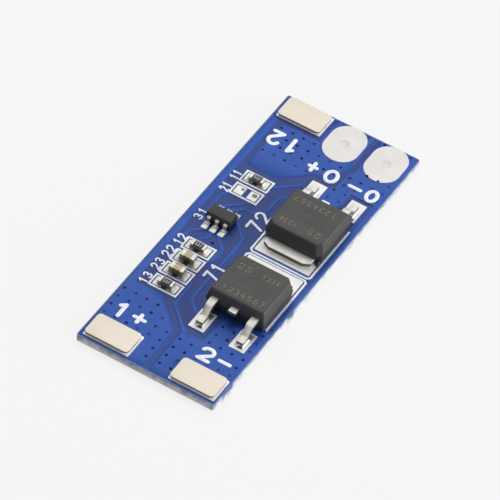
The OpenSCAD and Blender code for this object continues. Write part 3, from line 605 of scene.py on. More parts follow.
# %% Leads, tabs, mouldings and chip parts
def walls_in_painted_shade(name, light, dark, wall_shade, rough, metal, patch, depth):
    """Two colours in patches on faces that look up or down, and a third on walls, which is painted shade. The
    share of the third is 2 - 5 * the upward part of the direction, held between nought and one: none above
    0.4, all below 0.2."""
    material, tree, shader = new_material(name)
    level = ramp(tree, noise(tree, patch), [(0.35, dark), (0.65, light)])
    upward = size_of(tree, split(tree, coordinates(tree, "Normal"))[2])
    wall = math_node(tree, "MULTIPLY_ADD", upward, -5.0, 2.0, clamp=True)
    tree.links.new(blend_colour(tree, wall, level, wall_shade), shader.inputs["Base Color"])
    shader.inputs["Roughness"].default_value = rough
    shader.inputs["Metallic"].default_value = metal
    bump(tree, shader, noise(tree, 6000, 4.0), depth)
    return material


# Painted shade: each finish below is darker on its walls.
NICKEL = walls_in_painted_shade("nickel_tab", (0.735, 0.670, 0.570), (0.705, 0.640, 0.540), (0.16, 0.15, 0.13),
                  rough=0.46, metal=0.3, patch=250, depth=0.002)
LEAD = walls_in_painted_shade("tinned_lead", (0.78, 0.765, 0.72), (0.69, 0.675, 0.63), (0.19, 0.18, 0.16),
                rough=0.36, metal=0.6, patch=1500, depth=0.004)
# Painted light: the drain metal is the leads' tin in a lighter copy.
LIGHTER_TAB_METAL = walls_in_painted_shade("tinned_tab_painted_light", (0.92, 0.91, 0.85), (0.86, 0.85, 0.79), (0.17, 0.16, 0.14),
                     rough=0.42, metal=0.4, patch=1200, depth=0.004)
CHIP_END = walls_in_painted_shade("chip_end_metal", (0.78, 0.77, 0.70), (0.66, 0.65, 0.59), (0.23, 0.22, 0.19),
                    rough=0.42, metal=0.4, patch=4000, depth=0.005)
EPOXY = walls_in_painted_shade("black_epoxy", (0.052, 0.050, 0.049), (0.042, 0.041, 0.040), (0.024, 0.023, 0.023),
                 rough=0.41, metal=0.0, patch=900, depth=0.008)
CERAMIC = walls_in_painted_shade("fired_ceramic", (0.52, 0.43, 0.235), (0.42, 0.34, 0.165), (0.115, 0.098, 0.050),
                   rough=0.42, metal=0.0, patch=3500, depth=0.003)
print("finishes made:", len(bpy.data.materials))

# %% [markdown]
# ## Dress the solids that keep their shape
# The board, the copper areas, the lands and the printed frames are flat and crisp on the real object as well,
# so their solids stay and only change their material. The record names a slot for each, which is all that is
# needed to pick the finish. Only the two large output lands are told apart, because their tin is duller.

# %% Give each solid its finish
OUTPUT_LANDS = ("output_plus_land", "output_minus_land")
SLOT_FINISH = {
    "laminate": BOARD_BLUE, "masked_copper": COPPER_BLUE, "tinned_land": TIN, "solder": SOLDER,
    "weld_tab": NICKEL, "lead_metal": LEAD, "transistor_body": EPOXY, "chip_body": CHIP_EPOXY,
    "alumina": ALUMINA, "overcoat": OVERCOAT, "capacitor_ceramic": CERAMIC, "chip_end_metal": CHIP_END,
    "white_ink": INK,
}
SUBPARTS = frame["record"]["subparts"]
for entry in SUBPARTS:
    mesh = frame["nodes"][entry["node"]].data
    mesh.materials.clear()
    mesh.materials.append(WIDE_TIN if entry["node"] in OUTPUT_LANDS else SLOT_FINISH[entry["material_slot"]])
print("solids dressed:", len(SUBPARTS))

# %% [markdown]
# ## Lacquer flows over copper
# The copper areas end in upright walls, but the lacquer over them rounds every edge off. Seen from above, a
# wall makes a hard dark line and a slope makes a faint one, so the rim has to lean. A Bevel modifier would
# widen the many small holes as well, so the solid's own triangles are kept and only the corners of its top
# are moved. First the rims have to be read: which corners lie on top, and which way do the walls face that
# meet there?

# %% Read a flat solid's rims
def merged(node):
    """Points in millimetres and triangles of a solid whose loose corners are joined."""
    mesh = frame["nodes"][node].data
    raw = np.empty(len(mesh.vertices) * 3)
    mesh.vertices.foreach_get("co", raw)
    points, index = np.unique((raw.reshape(-1, 3) / MM).round(4), axis=0, return_inverse=True)
    corners = np.empty(len(mesh.loops), int)
    mesh.loops.foreach_get("vertex_index", corners)
    triangles = index.reshape(-1)[corners].reshape(-1, 3)
    return points, triangles[(triangles != np.roll(triangles, 1, axis=1)).all(1)]


def upper_rim(points, triangles):
    """For each corner of the top: the sum of the directions of the walls that meet there, the sum of the ways
    to the middles of its rim edges, and the longest of those edges."""
    a, b, c = (points[triangles[:, i]] for i in range(3))
    normal = np.cross(b - a, c - a)
    normal /= np.linalg.norm(normal, axis=1, keepdims=True) + 1e-12
    at_top = points[:, 2] > points[:, 2].max() - 0.01
    on_wall = (np.abs(normal[:, 2]) < 0.1) & (at_top[triangles].sum(1) == 2)
    ends = triangles[on_wall][at_top[triangles[on_wall]]].reshape(-1, 2)
    sums, ways, longest = np.zeros((len(points), 2)), np.zeros((len(points), 2)), np.zeros(len(points))
    middle = points[ends][:, :, :2].mean(1)
    length = np.linalg.norm(points[ends[:, 0]] - points[ends[:, 1]], axis=1)
    for end in ends.T:
        np.add.at(sums, end, normal[on_wall][:, :2])
        np.add.at(ways, end, middle - points[end][:, :2])
        np.maximum.at(longest, end, length)
    return at_top, sums, ways, longest


print("the drain copper has", len(merged("drain_copper")[0]), "corners")

# %% [markdown]
# ## Lean the rims inwards
# Each corner of the top moves in along the sum of the directions of its walls. The outer rim leans by a tenth
# of a millimetre, but the rims of the small holes hardly move, or the holes would grow into one another. A
# hole's rim is known by its short walls that face one another.

# %% Soft edges on the copper areas
RIM_STEP, HOLE_STEP, SHORT_WALL, TRIES = 0.09, 0.01, 0.2, 6


def soften(node):
    """Points and triangles of a flat solid whose upper rim is moved in. Shift = -2 * step * s / (s . s),
    where s is the sum of the wall directions at the corner. A corner is part of a hole where its walls are
    short and m . s is above nought, m being the sum of the ways to the middles of its two edges. Where a top
    triangle would fold over, its corners' shift is cut to a third, in up to six rounds."""
    points, triangles = merged(node)
    at_top, sums, ways, longest = upper_rim(points, triangles)
    hole = (longest < SHORT_WALL) & ((sums * ways).sum(1) > 0)
    step = np.where(hole, HOLE_STEP, RIM_STEP)[:, None]
    shift = -2 * step * sums / np.maximum((sums ** 2).sum(1), 0.4)[:, None] * at_top[:, None]
    flat = triangles[at_top[triangles].all(1)]
    for _ in range(TRIES):
        a, b, c = ((points[:, :2] + shift)[flat[:, i]] for i in range(3))
        folded = flat[(b - a)[:, 0] * (c - a)[:, 1] - (b - a)[:, 1] * (c - a)[:, 0] <= 0]
        shift[np.unique(folded)] /= 3
    points[:, :2] += shift
    return points, triangles.tolist()


for entry in SUBPARTS:
    if entry["material_slot"] == "masked_copper":
        node = entry["node"]
        make_piece(node + "_under_lacquer", [soften(node)], COPPER_BLUE, [node], sharp=50)

# %% [markdown]
# ## Small holes filled with lacquer
# The areas are stitched to the underside by rows of small plated holes. Lacquer runs into them and dries a
# little below the surface. Its colour is painted shade of the hole under it: some plugs are nearly black,
# others hardly show. Their middles are found from the solid: every corner of a hole's rim, moved by the
# radius along its wall's direction, lands on the same spot.

# %% Plugs in the small holes
HOLE_R, PLUG_DEPTH, PLUG_SINK, PLUG_SAG = 0.16, 0.7, 0.02, 0.03


def hole_middles(node):
    """Middle = corner + radius * wall direction. A spot counts where at least six corners agree on it, and
    spots closer than a twentieth of a millimetre are one."""
    points, triangles = merged(node)
    at_top, sums, _, _ = upper_rim(points, triangles)
    way = sums[at_top] / np.maximum(np.linalg.norm(sums[at_top], axis=1, keepdims=True), 1e-9)
    spots, count = np.unique((points[at_top][:, :2] + HOLE_R * way).round(2), axis=0, return_counts=True)
    spots = spots[count >= 6]
    near = np.linalg.norm(spots[:, None] - spots[None], axis=2) < 0.05
    return spots[near.argmax(1) == np.arange(len(spots))]


def plug(x, y):
    """Stack of circles: up the hole, then inwards. Height = top - sink - sag * (1 - (r / radius) ** 2)."""
    share = np.array([1.0, 1.0, 0.8, 0.5, 0.15])
    z = np.concatenate([[TOP - PLUG_DEPTH], COPPER_TOP - PLUG_SINK - PLUG_SAG * (1 - share[1:] ** 2)])
    return solid(circles(0.97 * HOLE_R * share, z, turn_angles(16)) + [x, y, 0])


middles = hole_middles("circuit_board")
make_piece("hole_plugs", [plug(*spot) for spot in middles], SHADED_PLUG)
print("small holes:", len(middles))

# %% [markdown]
# ## Where are the loose parts of a solid?
# One solid may stand for several lands or several printed boxes that don't touch. Their corners have to be
# sorted into groups before each can be given its own plate. Blender can separate a mesh by loose parts, but
# the frame's meshes stay as they are, so the sorting is done on a copy of the numbers.

# %% Sort the corners of a solid
def separate_boxes(node):
    """Lowest and highest corner of each loose part of a solid. Every corner takes the lowest label among its
    triangles until nothing changes; corners with one label are one part."""
    points, triangles = merged(node)
    label = np.arange(len(points))
    while True:
        lower = label.copy()
        np.minimum.at(lower, triangles.ravel(), np.repeat(label[triangles].min(1), 3))
        if (lower == label).all():
            break
        label = lower
    groups = [points[label == i] for i in np.unique(label)]
    return [(g.min(0), g.max(0)) for g in groups]


print("loose lands of the transistors:", len(separate_boxes("transistor_lands")))

# %% [markdown]
# ## Windows in the lacquer
# The lacquer stops a tenth of a millimetre short of a soldered land, and the strip in between is bare and
# dark. It shows round the drain lands. The whole inside of each chip part's printed box gets the same dark
# plate: bare laminate and painted shade round the chip parts in one. At the empty place a bridge of lacquer
# is left between the two lands. Round the six small lands of the control chip it is the other way about:
# there the lacquer runs close up, so collars of lacquered copper fill the strip. Windows and collars are
# thin plates under the lands.

# %% Dark windows and blue collars
STRIP, BRIDGE, INSIDE_INK, WIDE_LAND = 0.1, 0.56, 0.18, 5
WINDOW_TOP = COPPER_TOP + 0.006


def window_round(low, high):
    """A plate that stands out by the bare strip on all four sides of a land."""
    return slab(low[0] - STRIP, high[0] + STRIP, low[1] - STRIP, high[1] + STRIP, TOP, WINDOW_TOP)


def shade_plates_inside(low, high, with_bridge):
    """The inside of a printed box, in one dark plate that is also painted shade, or in two with a bridge left
    between them.
    """
    left, right, middle = low[0] + INSIDE_INK, high[0] - INSIDE_INK, (low[0] + high[0]) / 2
    spans = [(left, middle - BRIDGE / 2), (middle + BRIDGE / 2, right)] if with_bridge else [(left, right)]
    return [slab(x0, x1, low[1] + INSIDE_INK, high[1] - INSIDE_INK, TOP, WINDOW_TOP) for x0, x1 in spans]


lands = separate_boxes("transistor_lands")
windows = [window_round(low, high) for low, high in lands if high[0] - low[0] > WIDE_LAND]
empty_y = box_mm("empty_place_solder")[0][1]
for low, high in separate_boxes("chip_boxes_ink"):
    windows += shade_plates_inside(low, high, low[1] < empty_y < high[1])
make_piece("lacquer_windows_and_painted_shade", windows, WINDOW_AND_SHADE)
collars = [window_round(*box) for box in separate_boxes("control_chip_lands")]
make_piece("lacquer_collars", collars, COPPER_BLUE)

# %% [markdown]
# ## Tinned lands that differ from their solids
# The lands under the weld tabs show mostly at the right and in front of the tabs, and the far lands of the
# control chip are a little short. Thin plates with barely rounded rims stand for both groups, and their
# places follow from the tabs and from the middle of the chip.

# %% Lands of the weld tabs and the control chip
WELD_TABS = ("cell_plus_tab", "cell_minus_tab", "middle_tap_tab")
SHOW_RIGHT, SHOW_FRONT, SHOW_LITTLE, WELD_LAND_CORNER = 0.17, 0.13, 0.03, 0.12
LEG_XS, CHIP_LAND_HALF, CHIP_LAND_CORNER = (-0.95, 0, 0.95), 0.31, 0.03
NEAR_LAND, FAR_LAND = (-1.9, -0.85), (0.85, 1.74)
plates = []
for node in WELD_TABS:
    low, high = box_mm(node)
    plates.append(slab(low[0] - SHOW_LITTLE, high[0] + SHOW_RIGHT, low[1] - SHOW_FRONT, high[1] + SHOW_LITTLE,
                       COPPER_TOP, LAND_TOP, WELD_LAND_CORNER))
make_piece("weld_land_plates", plates, TIN, ["weld_lands"])
chip_x, chip_y = plan_of("control_chip_body")[0]
plates = [slab(chip_x + x - CHIP_LAND_HALF, chip_x + x + CHIP_LAND_HALF, chip_y + y0, chip_y + y1,
               COPPER_TOP, LAND_TOP, CHIP_LAND_CORNER) for x in LEG_XS for y0, y1 in (NEAR_LAND, FAR_LAND)]
make_piece("control_chip_land_plates", plates, TIN, ["control_chip_lands"])

# %% [markdown]
# ## Filled holes in the output lands
# Each output land has a hole in its middle that solder has filled. As it cooled it sank, so a shallow dish
# with a faint rim shows. A dish is a stack of circles: up the outside to the rim, and down again inside.

# %% Solder dishes
DISH_R, DISH_DEPTH, DISH_BELOW = 0.5, 0.045, 0.004


def dish(x, y, low, high):
    """Circles along a profile: straight up from low to high, then inwards with height = high - depth *
    (1 - (r / radius) ** 2) ** 0.5, where r / radius is the share."""
    share = np.array([0.97, 0.9, 0.8, 0.65, 0.45, 0.25, 0.08])
    r = DISH_R * np.concatenate([[1, 1], share])
    z = np.concatenate([[low, high], high - DISH_DEPTH * np.sqrt(1 - share ** 2)])
    return solid(circles(r, z, turn_angles(48)) + [x, y, 0])


dish_low = levels_of("solder_plugs")[0]
dishes = [dish(*plan_of(node)[0], dish_low, levels_of(node)[1] - DISH_BELOW) for node in OUTPUT_LANDS]
make_piece("solder_dishes", dishes, SUNK_TIN, ["solder_plugs"])

# %% [markdown]
# ## Weld tabs
# Three small nickel-plated plates carry the cells' current. They are punched from strip, so their corners are
# round, the upper edge is slightly rolled over and the lower edge more so. A plate with quarter-round edges
# is enough; a Bevel modifier would do the same, but here the outline function already knows how to shrink
# itself.

# %% Three weld tabs
TAB_CORNER, ROLL_ABOVE, ROLL_BELOW = 0.42, 0.03, 0.10
for node in WELD_TABS:
    middle, half = plan_of(node)
    rings = plate(BOX, sides(*half), TAB_CORNER, *levels_of(node), ROLL_ABOVE, 8, under=ROLL_BELOW)
    make_piece(node + "_plate", [solid(place(rings, *middle))], NICKEL, [node])

# %% [markdown]
# ## Power transistors: the moulding
# The black body is transfer-moulded: it leans in above and below the parting line so that it leaves the
# mould, its two corners at the drain side are cut, its upper edges are soft, and an ejector pin leaves a
# shallow round mark on top. All of that is one stack of outlines whose sides move in by amounts that depend
# on height. The second transistor is the same body turned by half a turn. Heights count from the underside of
# the body, which is level with the feet of its leads.

# %% The moulded bodies
FACING_BODY = [-90, 0, 45, 90, 135, 180]
LEAN, PART_H, SOFT, CORNER_CUT, CORNER_R, BELOW_TOP = 0.3, 1.0, 0.16, 0.5, 0.13, 0.012
PIN_MARK_R, PIN_MARK_Z = [0.70, 0.66, 0.60, 0.53], [0.0, -0.015, -0.032, -0.036]
HALF_W, HALF_L = plan_of("q1_body")[1]
CUT_REACH = (HALF_W + HALF_L - CORNER_CUT) / math.sqrt(2)
SEAT = levels_of("q1_body")[0]
BODY_H = levels_of("q1_body")[1] - SEAT - BELOW_TOP


def moulding_rings():
    """Side distance at each ring = distance at the parting line - lean - rounding. Above the parting line the
    lean grows in step with height (times root two on the cut corners); the lowest three outlines have leans
    of their own. Rounding is soft * (1 - cos t) at height top - soft + soft * sin t. The last rings are
    circles that make the shallow pin mark."""
    t = np.radians([0, 15, 30, 45, 60, 75, 90])
    z = np.concatenate([[0, 0.04, PART_H - 0.03, PART_H], BODY_H - SOFT + SOFT * np.sin(t)])
    above = np.clip((z - PART_H) / (BODY_H - PART_H), 0, 1)
    lean = np.where(z < PART_H, np.array([0.10, 0.06, 0.02] + [0] * 8), LEAN * above)
    rounding = np.concatenate([[0, 0, 0, 0], SOFT * (1 - np.cos(t))])
    at_parting = np.array([HALF_L, HALF_W, CUT_REACH, HALF_L, CUT_REACH, HALF_W])
    factor = np.array([1, 1, math.sqrt(2), 1, math.sqrt(2), 1])
    reach = at_parting - lean[:, None] * factor - rounding[:, None]
    rings = stand(outline(FACING_BODY, reach, CORNER_R, 7, between=9), z)
    angle = np.arctan2(rings[-1, :, 1], rings[-1, :, 0])
    return np.concatenate([rings, circles(PIN_MARK_R, BODY_H + np.array(PIN_MARK_Z), angle)])


TRANSISTORS = {}
for tag in ("q1", "q2"):
    x, y = plan_of(tag + "_body")[0]
    TRANSISTORS[tag] = dict(x=x, y=y, z=SEAT, half_turn=tag == "q2")
    rings = place(moulding_rings(), **TRANSISTORS[tag])
    make_piece(tag + "_moulding", [solid(rings)], EPOXY, [tag + "_body"], sharp=28)

# %% [markdown]
# ## A crumb of moulding compound
# The mould is never quite tight. At the front right corner of the second transistor a crumb of compound has
# squeezed out and sits beside the drain tab. The cushion helper makes it: a small dome, pushed a little to
# one side.

# %% The crumb
CRUMB_AT, CRUMB_HALF, CRUMB_H = (6.60, 1.40), (0.25, 0.28), 0.42
crumb = place(cushion(*CRUMB_HALF, LAND_TOP - 0.02, CRUMB_H), *CRUMB_AT)
make_piece("q2_mould_crumb", [solid(crumb)], EPOXY, sharp=60)

# %% [markdown]
# ## Power transistors: the leads
# The leads leave the body about half way up, run level, slope down and end in a flat foot. Where the dam bar
# was cut they are a little wider. The strip function takes a width for each step of the path, so
# the wide part is a smooth bump in that list. All lengths count from the middle of the body, with the leads
# in the direction of -y.

# %% The shape of a lead
PITCH, LEAD_W, METAL, LEAD_EDGE = 2.286, 0.8, 0.5, 0.06
EXIT_H, FOOT, SHOULDER, BEND_R = 1.2, 1.05, 0.9, 0.5
NARROW, DAM_BUMP, DAM_FALL = 0.03, 0.07, 0.25
TOE = HALF_L + 2.76


def lead_rings(x):
    """Strip along exit, bend, slope, bend and foot. Width = lead - narrow + bump * step, where step is one on
    the level part next to the body and falls smoothly to nought over the first quarter millimetre down."""
    level_part = [(-HALF_L + 0.5, EXIT_H), (-HALF_L - SHOULDER, EXIT_H)]
    foot_part = [(-TOE + FOOT, METAL / 2), (-TOE, METAL / 2)]
    path = bent_path(level_part + foot_part, BEND_R, 9)
    level = np.clip((path[:, 1] - EXIT_H + DAM_FALL) / DAM_FALL, 0, 1)
    width = LEAD_W - NARROW + DAM_BUMP * level * level * (3 - 2 * level)
    return strip(path, width, METAL, LEAD_EDGE) + [x, 0, 0]


print("a lead is a stack of", len(lead_rings(PITCH)), "sections")

# %% [markdown]
# ## Power transistors: drain tab and stub
# The third connection is the wide tab at the other end, a plate with two cut corners. It is one piece of
# metal with the short stub that sticks out between the leads, where the strip of parts was sheared off. The
# tab's outline is needed again for the solder round it, so its six directions and distances get names. With
# both shapes at hand, each transistor gets its gate lead, its source lead and its drain metal.

# %% Leads and drain metal
TAB_W, CUT_X, CUT_Y, TAB_END = 5.35, 0.72, 0.42, HALF_L + 1.1
STUB, STUB_THICK, STUB_EXTRA_W, INSIDE_Y = 0.62, 0.4, 0.06, 2.6
CUT_TURN = math.atan2(CUT_X, CUT_Y)
CUT_DISTANCE = TAB_W / 2 * math.cos(CUT_TURN) + (TAB_END - CUT_Y) * math.sin(CUT_TURN)
FACING_TAB = [-90, 0, math.degrees(CUT_TURN), 90, 180 - math.degrees(CUT_TURN), 180]


def tab_reach(near_side):
    """Distances of the tab's six sides from the body's middle; only the side inside the body is free."""
    return np.array([near_side, TAB_W / 2, CUT_DISTANCE, TAB_END, CUT_DISTANCE, TAB_W / 2])


def drain_solids():
    """The tab plate and the stub strip, round the body's middle."""
    tab = plate(FACING_TAB, tab_reach(1.2), 0.08, 0, METAL, 0.05, 4)
    line = np.array([(-INSIDE_Y, EXIT_H), (-HALF_L, EXIT_H), (-HALF_L - STUB, EXIT_H)])
    return [tab, strip(line, LEAD_W + STUB_EXTRA_W, STUB_THICK)]


for tag, where in TRANSISTORS.items():
    for name, side in (("gate", -1), ("source", 1)):
        node = f"{tag}_{name}_lead"
        lead = solid(place(lead_rings(side * PITCH), **where))
        make_piece(node + "_strip", [lead], LEAD, [node])
    metal = [solid(place(part, **where)) for part in drain_solids()]
    # The drain metal takes the lighter copy of the leads' tin, which is painted light.
    make_piece(tag + "_drain_metal", metal, LIGHTER_TAB_METAL, [tag + "_drain_frame"])

# %% [markdown]
# ## Power transistors: solder
# Under each foot and under the drain tab the land is wet with solder. The ring helper gives the visible
# slope. Its climb is larger at the toe and the heel than along the sides, so it is worked out from each
# point's direction round the foot. Under the tab lies a flat bed that closes the gap to the land. Heights
# count from the underside of the feet, so the top of the land lies at -0.05.

# %% The shape of the solder
BEAD_LOW, BED_LOW, BED_HIGH, BED_INSET = -0.07, -0.05, -0.001, 0.1
FOOT_SIDES, FOOT_SPREAD = sides(LEAD_W / 2 - 0.03, FOOT / 2 + 0.03), [0.80, 0.52, 0.85, 0.52]
TAB_SPREAD = [0.0, 0.28, 0.30, 0.32, 0.30, 0.28]


def foot_ring(x):
    """Solder round a foot. Climb = 0.12 + 0.16 * sin squared of the direction from the foot's middle."""
    inner, outer = outline(BOX, FOOT_SIDES, 0.06, 6), outline(BOX, FOOT_SPREAD, 0.2, 6)
    angle = np.arctan2(inner[:, 1], inner[:, 0])
    ring = solder_ring(inner, outer, BEAD_LOW, 0.12 + 0.16 * np.sin(angle) ** 2, power=1.6)
    return ring + [x, -TOE + FOOT / 2 + 0.05, 0]


def tab_ring():
    """Solder round the drain tab, three tenths of a millimetre wide, along its cut corners too. Height above
    its base = 0.04 + 0.07 * (1 - t) squared, with t running outwards, so the outer edge is a small lip."""
    reach = tab_reach(-INSIDE_Y) - 0.03
    inner, outer = outline(FACING_TAB, reach, 0.05, 6), outline(FACING_TAB, reach + TAB_SPREAD, 0.25, 6)
    return solder_ring(inner, outer, BEAD_LOW, climb=0.07, lip=0.04)


def bead_solids(where):
    """The rings round both feet and the tab, and the bed under the tab, put in place on the board."""
    beads = [foot_ring(-PITCH), foot_ring(PITCH), tab_ring()]
    bed_reach = [-0.6, TAB_W / 2 - BED_INSET, TAB_END - BED_INSET, TAB_W / 2 - BED_INSET]
    bed = plate(BOX, bed_reach, 0.04, BED_LOW, BED_HIGH, 0.01)
    return [solid(place(ring, **where), loop=True) for ring in beads] + [solid(place(bed, **where))]


print("solids in one transistor's solder:", len(bead_solids(TRANSISTORS["q1"])))

# %% [markdown]
# ## Power transistors: flux stains and painted shade
# Flux runs out of the solder and sets as a thin glassy stain: brown in front of the toes, grey under the
# slope of the leads. Both stains also paint shade: the dark line in front of each toe and the shade under
# each lead's slope. A pattern in the solder's own material could show them too, but a low cushion gives them
# some thickness and can be moved without touching any shader. Each foot gets one stain of either kind, and
# then the solder itself is made.

# %% Stains and solder
# name: half size, height, place from the middle of the toe's end, finish
STAINS = {"toe_flux_and_shade": ((0.30, 0.15), 0.21, (0.16, -0.12), TOE_STAIN_AND_SHADE),
          "heel_flux_and_shade": ((0.66, 0.34), 0.07, (0.0, 1.62), HEEL_STAIN_AND_SHADE)}
for tag, where in TRANSISTORS.items():
    for name, (half, height, shift, material) in STAINS.items():
        stain = cushion(*half, BED_LOW, height)
        stains = [place(stain + [x + shift[0], -TOE + shift[1], 0], **where) for x in (-PITCH, PITCH)]
        make_piece(f"{tag}_{name}", [solid(rings) for rings in stains], material, sharp=60)
    make_piece(tag + "_solder_beads", bead_solids(where), SOLDER, [tag + "_solder"], sharp=60)

# %% [markdown]
# ## The control chip
# A smaller moulding of the same kind, with four sides instead of six. Its underside lies a little higher than
# its feet, so heights count from the same level as before, the underside of the feet.

# %% The control chip's moulding
(CHIP_X, CHIP_Y), (CHIP_HALF_W, CHIP_HALF_L) = plan_of("control_chip_body")
CHIP_LOW, CHIP_HIGH = (level - SEAT for level in levels_of("control_chip_body"))
CHIP_PART, CHIP_LEAN, CHIP_SOFT, CHIP_CORNER = 0.6, 0.12, 0.06, 0.05
CHIP_AT = dict(x=CHIP_X, y=CHIP_Y, z=SEAT)


def chip_moulding():
    """The same rule as the large moulding, with four sides and a smaller lean and rounding."""
    t = np.radians([0, 30, 60, 90])
    z = np.concatenate([[CHIP_LOW, CHIP_PART], CHIP_HIGH - CHIP_SOFT + CHIP_SOFT * np.sin(t)])
    above = np.clip((z - CHIP_PART) / (CHIP_HIGH - CHIP_PART), 0, 1)
    inset = np.concatenate([[0.08, 0], CHIP_LEAN * above[2:] + CHIP_SOFT * (1 - np.cos(t))])
    at_parting = np.array(sides(CHIP_HALF_W, CHIP_HALF_L))
    return stand(outline(BOX, at_parting - inset[:, None], CHIP_CORNER, 4), z)


chip_skin = solid(place(chip_moulding(), **CHIP_AT))
make_piece("control_chip_moulding", [chip_skin], CHIP_EPOXY, ["control_chip_body"], sharp=28)

# %% [markdown]
# ## The control chip's legs and their solder
# There are three legs on each side. A leg is the same strip every time, so it is worked out for one side and
# a half turn about the chip's middle gives the other. The solder at the feet is the ring helper once more,
# with a climb that rises towards the toe.

# %% Six legs and six beads
LEG_W, LEG_THICK, LEG_BEND_R, LEG_EDGE = 0.42, 0.15, 0.12, 0.03
LEG_EXIT_H, LEG_FOOT_H, FOOT_Y, FOOT_HALF, LEG_BEAD_LOW = 0.62, LEG_THICK / 2, -1.24, 0.17, -0.062


def leg_rings(x):
    """Gull-wing leg: level, slope, foot, with the distances from the chip's middle along -y."""
    corners = [(-0.6, LEG_EXIT_H), (-0.96, LEG_EXIT_H), (-1.06, LEG_FOOT_H), (-1.4, LEG_FOOT_H)]
    return strip(bent_path(corners, LEG_BEND_R, 6), LEG_W, LEG_THICK, LEG_EDGE) + [x, 0, 0]


def toe_ring(x):
    """Solder round a leg's foot. Climb = 0.05 + 0.09 * the share of the way from its middle to the toe."""
    inner = outline(BOX, sides(LEG_W / 2 - 0.02, FOOT_HALF), 0.03, 4)
    outer = outline(BOX, [0.48, 0.29, 0.22, 0.29], 0.12, 4)
    toe = np.clip(-inner[:, 1] / FOOT_HALF, 0, 1)
    return solder_ring(inner, outer, LEG_BEAD_LOW, 0.05 + 0.09 * toe, 1.8, 5) + [x, FOOT_Y, 0]


legs, beads = [], []
for x in LEG_XS:
    legs += both_ways(leg_rings(x), **CHIP_AT)
    beads += both_ways(toe_ring(x), **CHIP_AT, loop=True)
make_piece("control_chip_leg_strips", legs, LEAD, ["control_chip_legs"])
make_piece("control_chip_solder_beads", beads, SOLDER, ["control_chip_solder"])

# %% [markdown]
# ## Chip resistors and capacitors
# Five bricks less than two millimetres long. A resistor is a flat ceramic tile with a dark glass coat on top
# and metal wrapped round its ends; a capacitor is a taller sandy brick with longer ends. Small roundings
# matter here, because a sharp brick at this scale looks like a toy.

# %% Chip parts
CHIPS = ("r1", "r2", "r3", "c2", "c3")
END, WIDE_END, CHIP_HALF, END_EDGE = 0.3, 0.42, 0.4, 0.05
# how far block and coat lie inside the metal ends: at the tips, at the sides, below, above
TUCK_TIP, TUCK_SIDE, TUCK_LOW, TUCK_HIGH, BLOCK_EDGE = 0.06, 0.03, 0.04, 0.03, 0.03
COAT_OVERLAP, COAT_SIDE, COAT_LOW, COAT_HIGH, COAT_EDGE = 0.02, 0.05, 0.05, 0.012, 0.015


def brick(middle, half_x, half_y, low, high, edge, steps=3):
    """A brick round a middle seen from above; its corners and its edges have the same small radius."""
    return solid(place(plate(BOX, sides(half_x, half_y), edge, low, high, edge, steps), *middle))


def metal_ends(middle, half_l, low, high, end):
    """Two caps, each end millimetres long, on a chip whose half length is half_l."""
    shift = np.array([half_l - end / 2, 0])
    return [brick(middle + side * shift, end / 2, CHIP_HALF, low, high, END_EDGE, 4) for side in (-1, 1)]


for tag in CHIPS:
    low, high = levels_of(tag + "_ends")
    middle, (half_l, _) = plan_of(tag + "_ends")
    resistor = tag[0] == "r"
    ends = metal_ends(middle, half_l, low, high, END if resistor else WIDE_END)
    make_piece(tag + "_metal_ends", ends, CHIP_END, [tag + "_ends"])
    block = brick(middle, half_l - TUCK_TIP, CHIP_HALF - TUCK_SIDE, low + TUCK_LOW, high - TUCK_HIGH,
                  BLOCK_EDGE)
    if resistor:
        make_piece(tag + "_tile", [block], ALUMINA, [tag + "_block"])
        coat = brick(middle, half_l - END + COAT_OVERLAP, CHIP_HALF - COAT_SIDE, high - COAT_LOW,
                     high - COAT_HIGH, COAT_EDGE)
        make_piece(tag + "_glass_coat", [coat], OVERCOAT, [tag + "_overcoat"])
    else:
        make_piece(tag + "_brick", [block], CERAMIC, [tag + "_block"])

# %% [markdown]
# ## Solder at the chips' ends
# At each end of a chip the solder climbs the metal cap and runs out over the land. Its top is a patch of two
# parameters: one runs away from the chip, the other runs across. Where a chip was left out, each land keeps
# a low cushion of solder instead.

# %% Slopes and cushions of solder
SLOPE_X, SLOPE_HALF, CLIMB_SHARE, SUNK = (0.79, 1.20), (0.38, 0.46), 0.55, 0.05
# each cushion's place from the middle of the empty place, and its half width
EMPTY_LANDS = [(-0.56, 0.24, 0.19), (0.86, 0.16, 0.27)]


def slope(climb):
    """Patch from the chip (t = 0) to the land's edge (t = 1). Height = 0.012 + climb * (1 - t) squared *
    (1 - 0.55 * s squared), half width runs in a straight line, and s goes from -1 to 1 across."""
    (x0, x1), (half0, half1) = SLOPE_X, SLOPE_HALF
    t = np.linspace(0, 1, 8)[:, None]
    s = np.linspace(-1, 1, 9)[None, :]
    z = 0.012 + climb * (1 - t) ** 2 * (1 - 0.55 * s ** 2)
    top = np.stack([x0 + (x1 - x0) * t + 0 * s, (half0 + (half1 - half0) * t) * s, z], -1)
    base = np.stack([top[:, [-1, 0], 0], top[:, [-1, 0], 1], np.zeros((8, 2))], -1)
    return np.concatenate([top, base], 1)


slopes = []
for tag in CHIPS:
    low, high = levels_of(tag + "_ends")
    slopes += both_ways(slope(CLIMB_SHARE * (high - low)), *plan_of(tag + "_ends")[0], low - SUNK)
make_piece("chip_solder_slopes", slopes, SOLDER, ["chip_solder"])
x0, y0 = plan_of("empty_place_solder")[0]
cushions = [solid(place(cushion(half, 0.9 * half, 0.0, 0.08), x0 + x, y0 + y, LAND_TOP))
            for x, y, half in EMPTY_LANDS]
make_piece("empty_place_cushions", cushions, DULL_SOLDER, ["empty_place_solder"])

# %% [markdown]
# ## Printed numbers
# The board carries printed signs beside its parts and terminals. Here they are plain numbers with the signs
# for plus and minus. A text object would do as well, but a digit is only a few strokes of a pen with a round
# tip, so each is a list of paths in a box six tenths wide and one high, and the ribbon function turns them
# into ink.

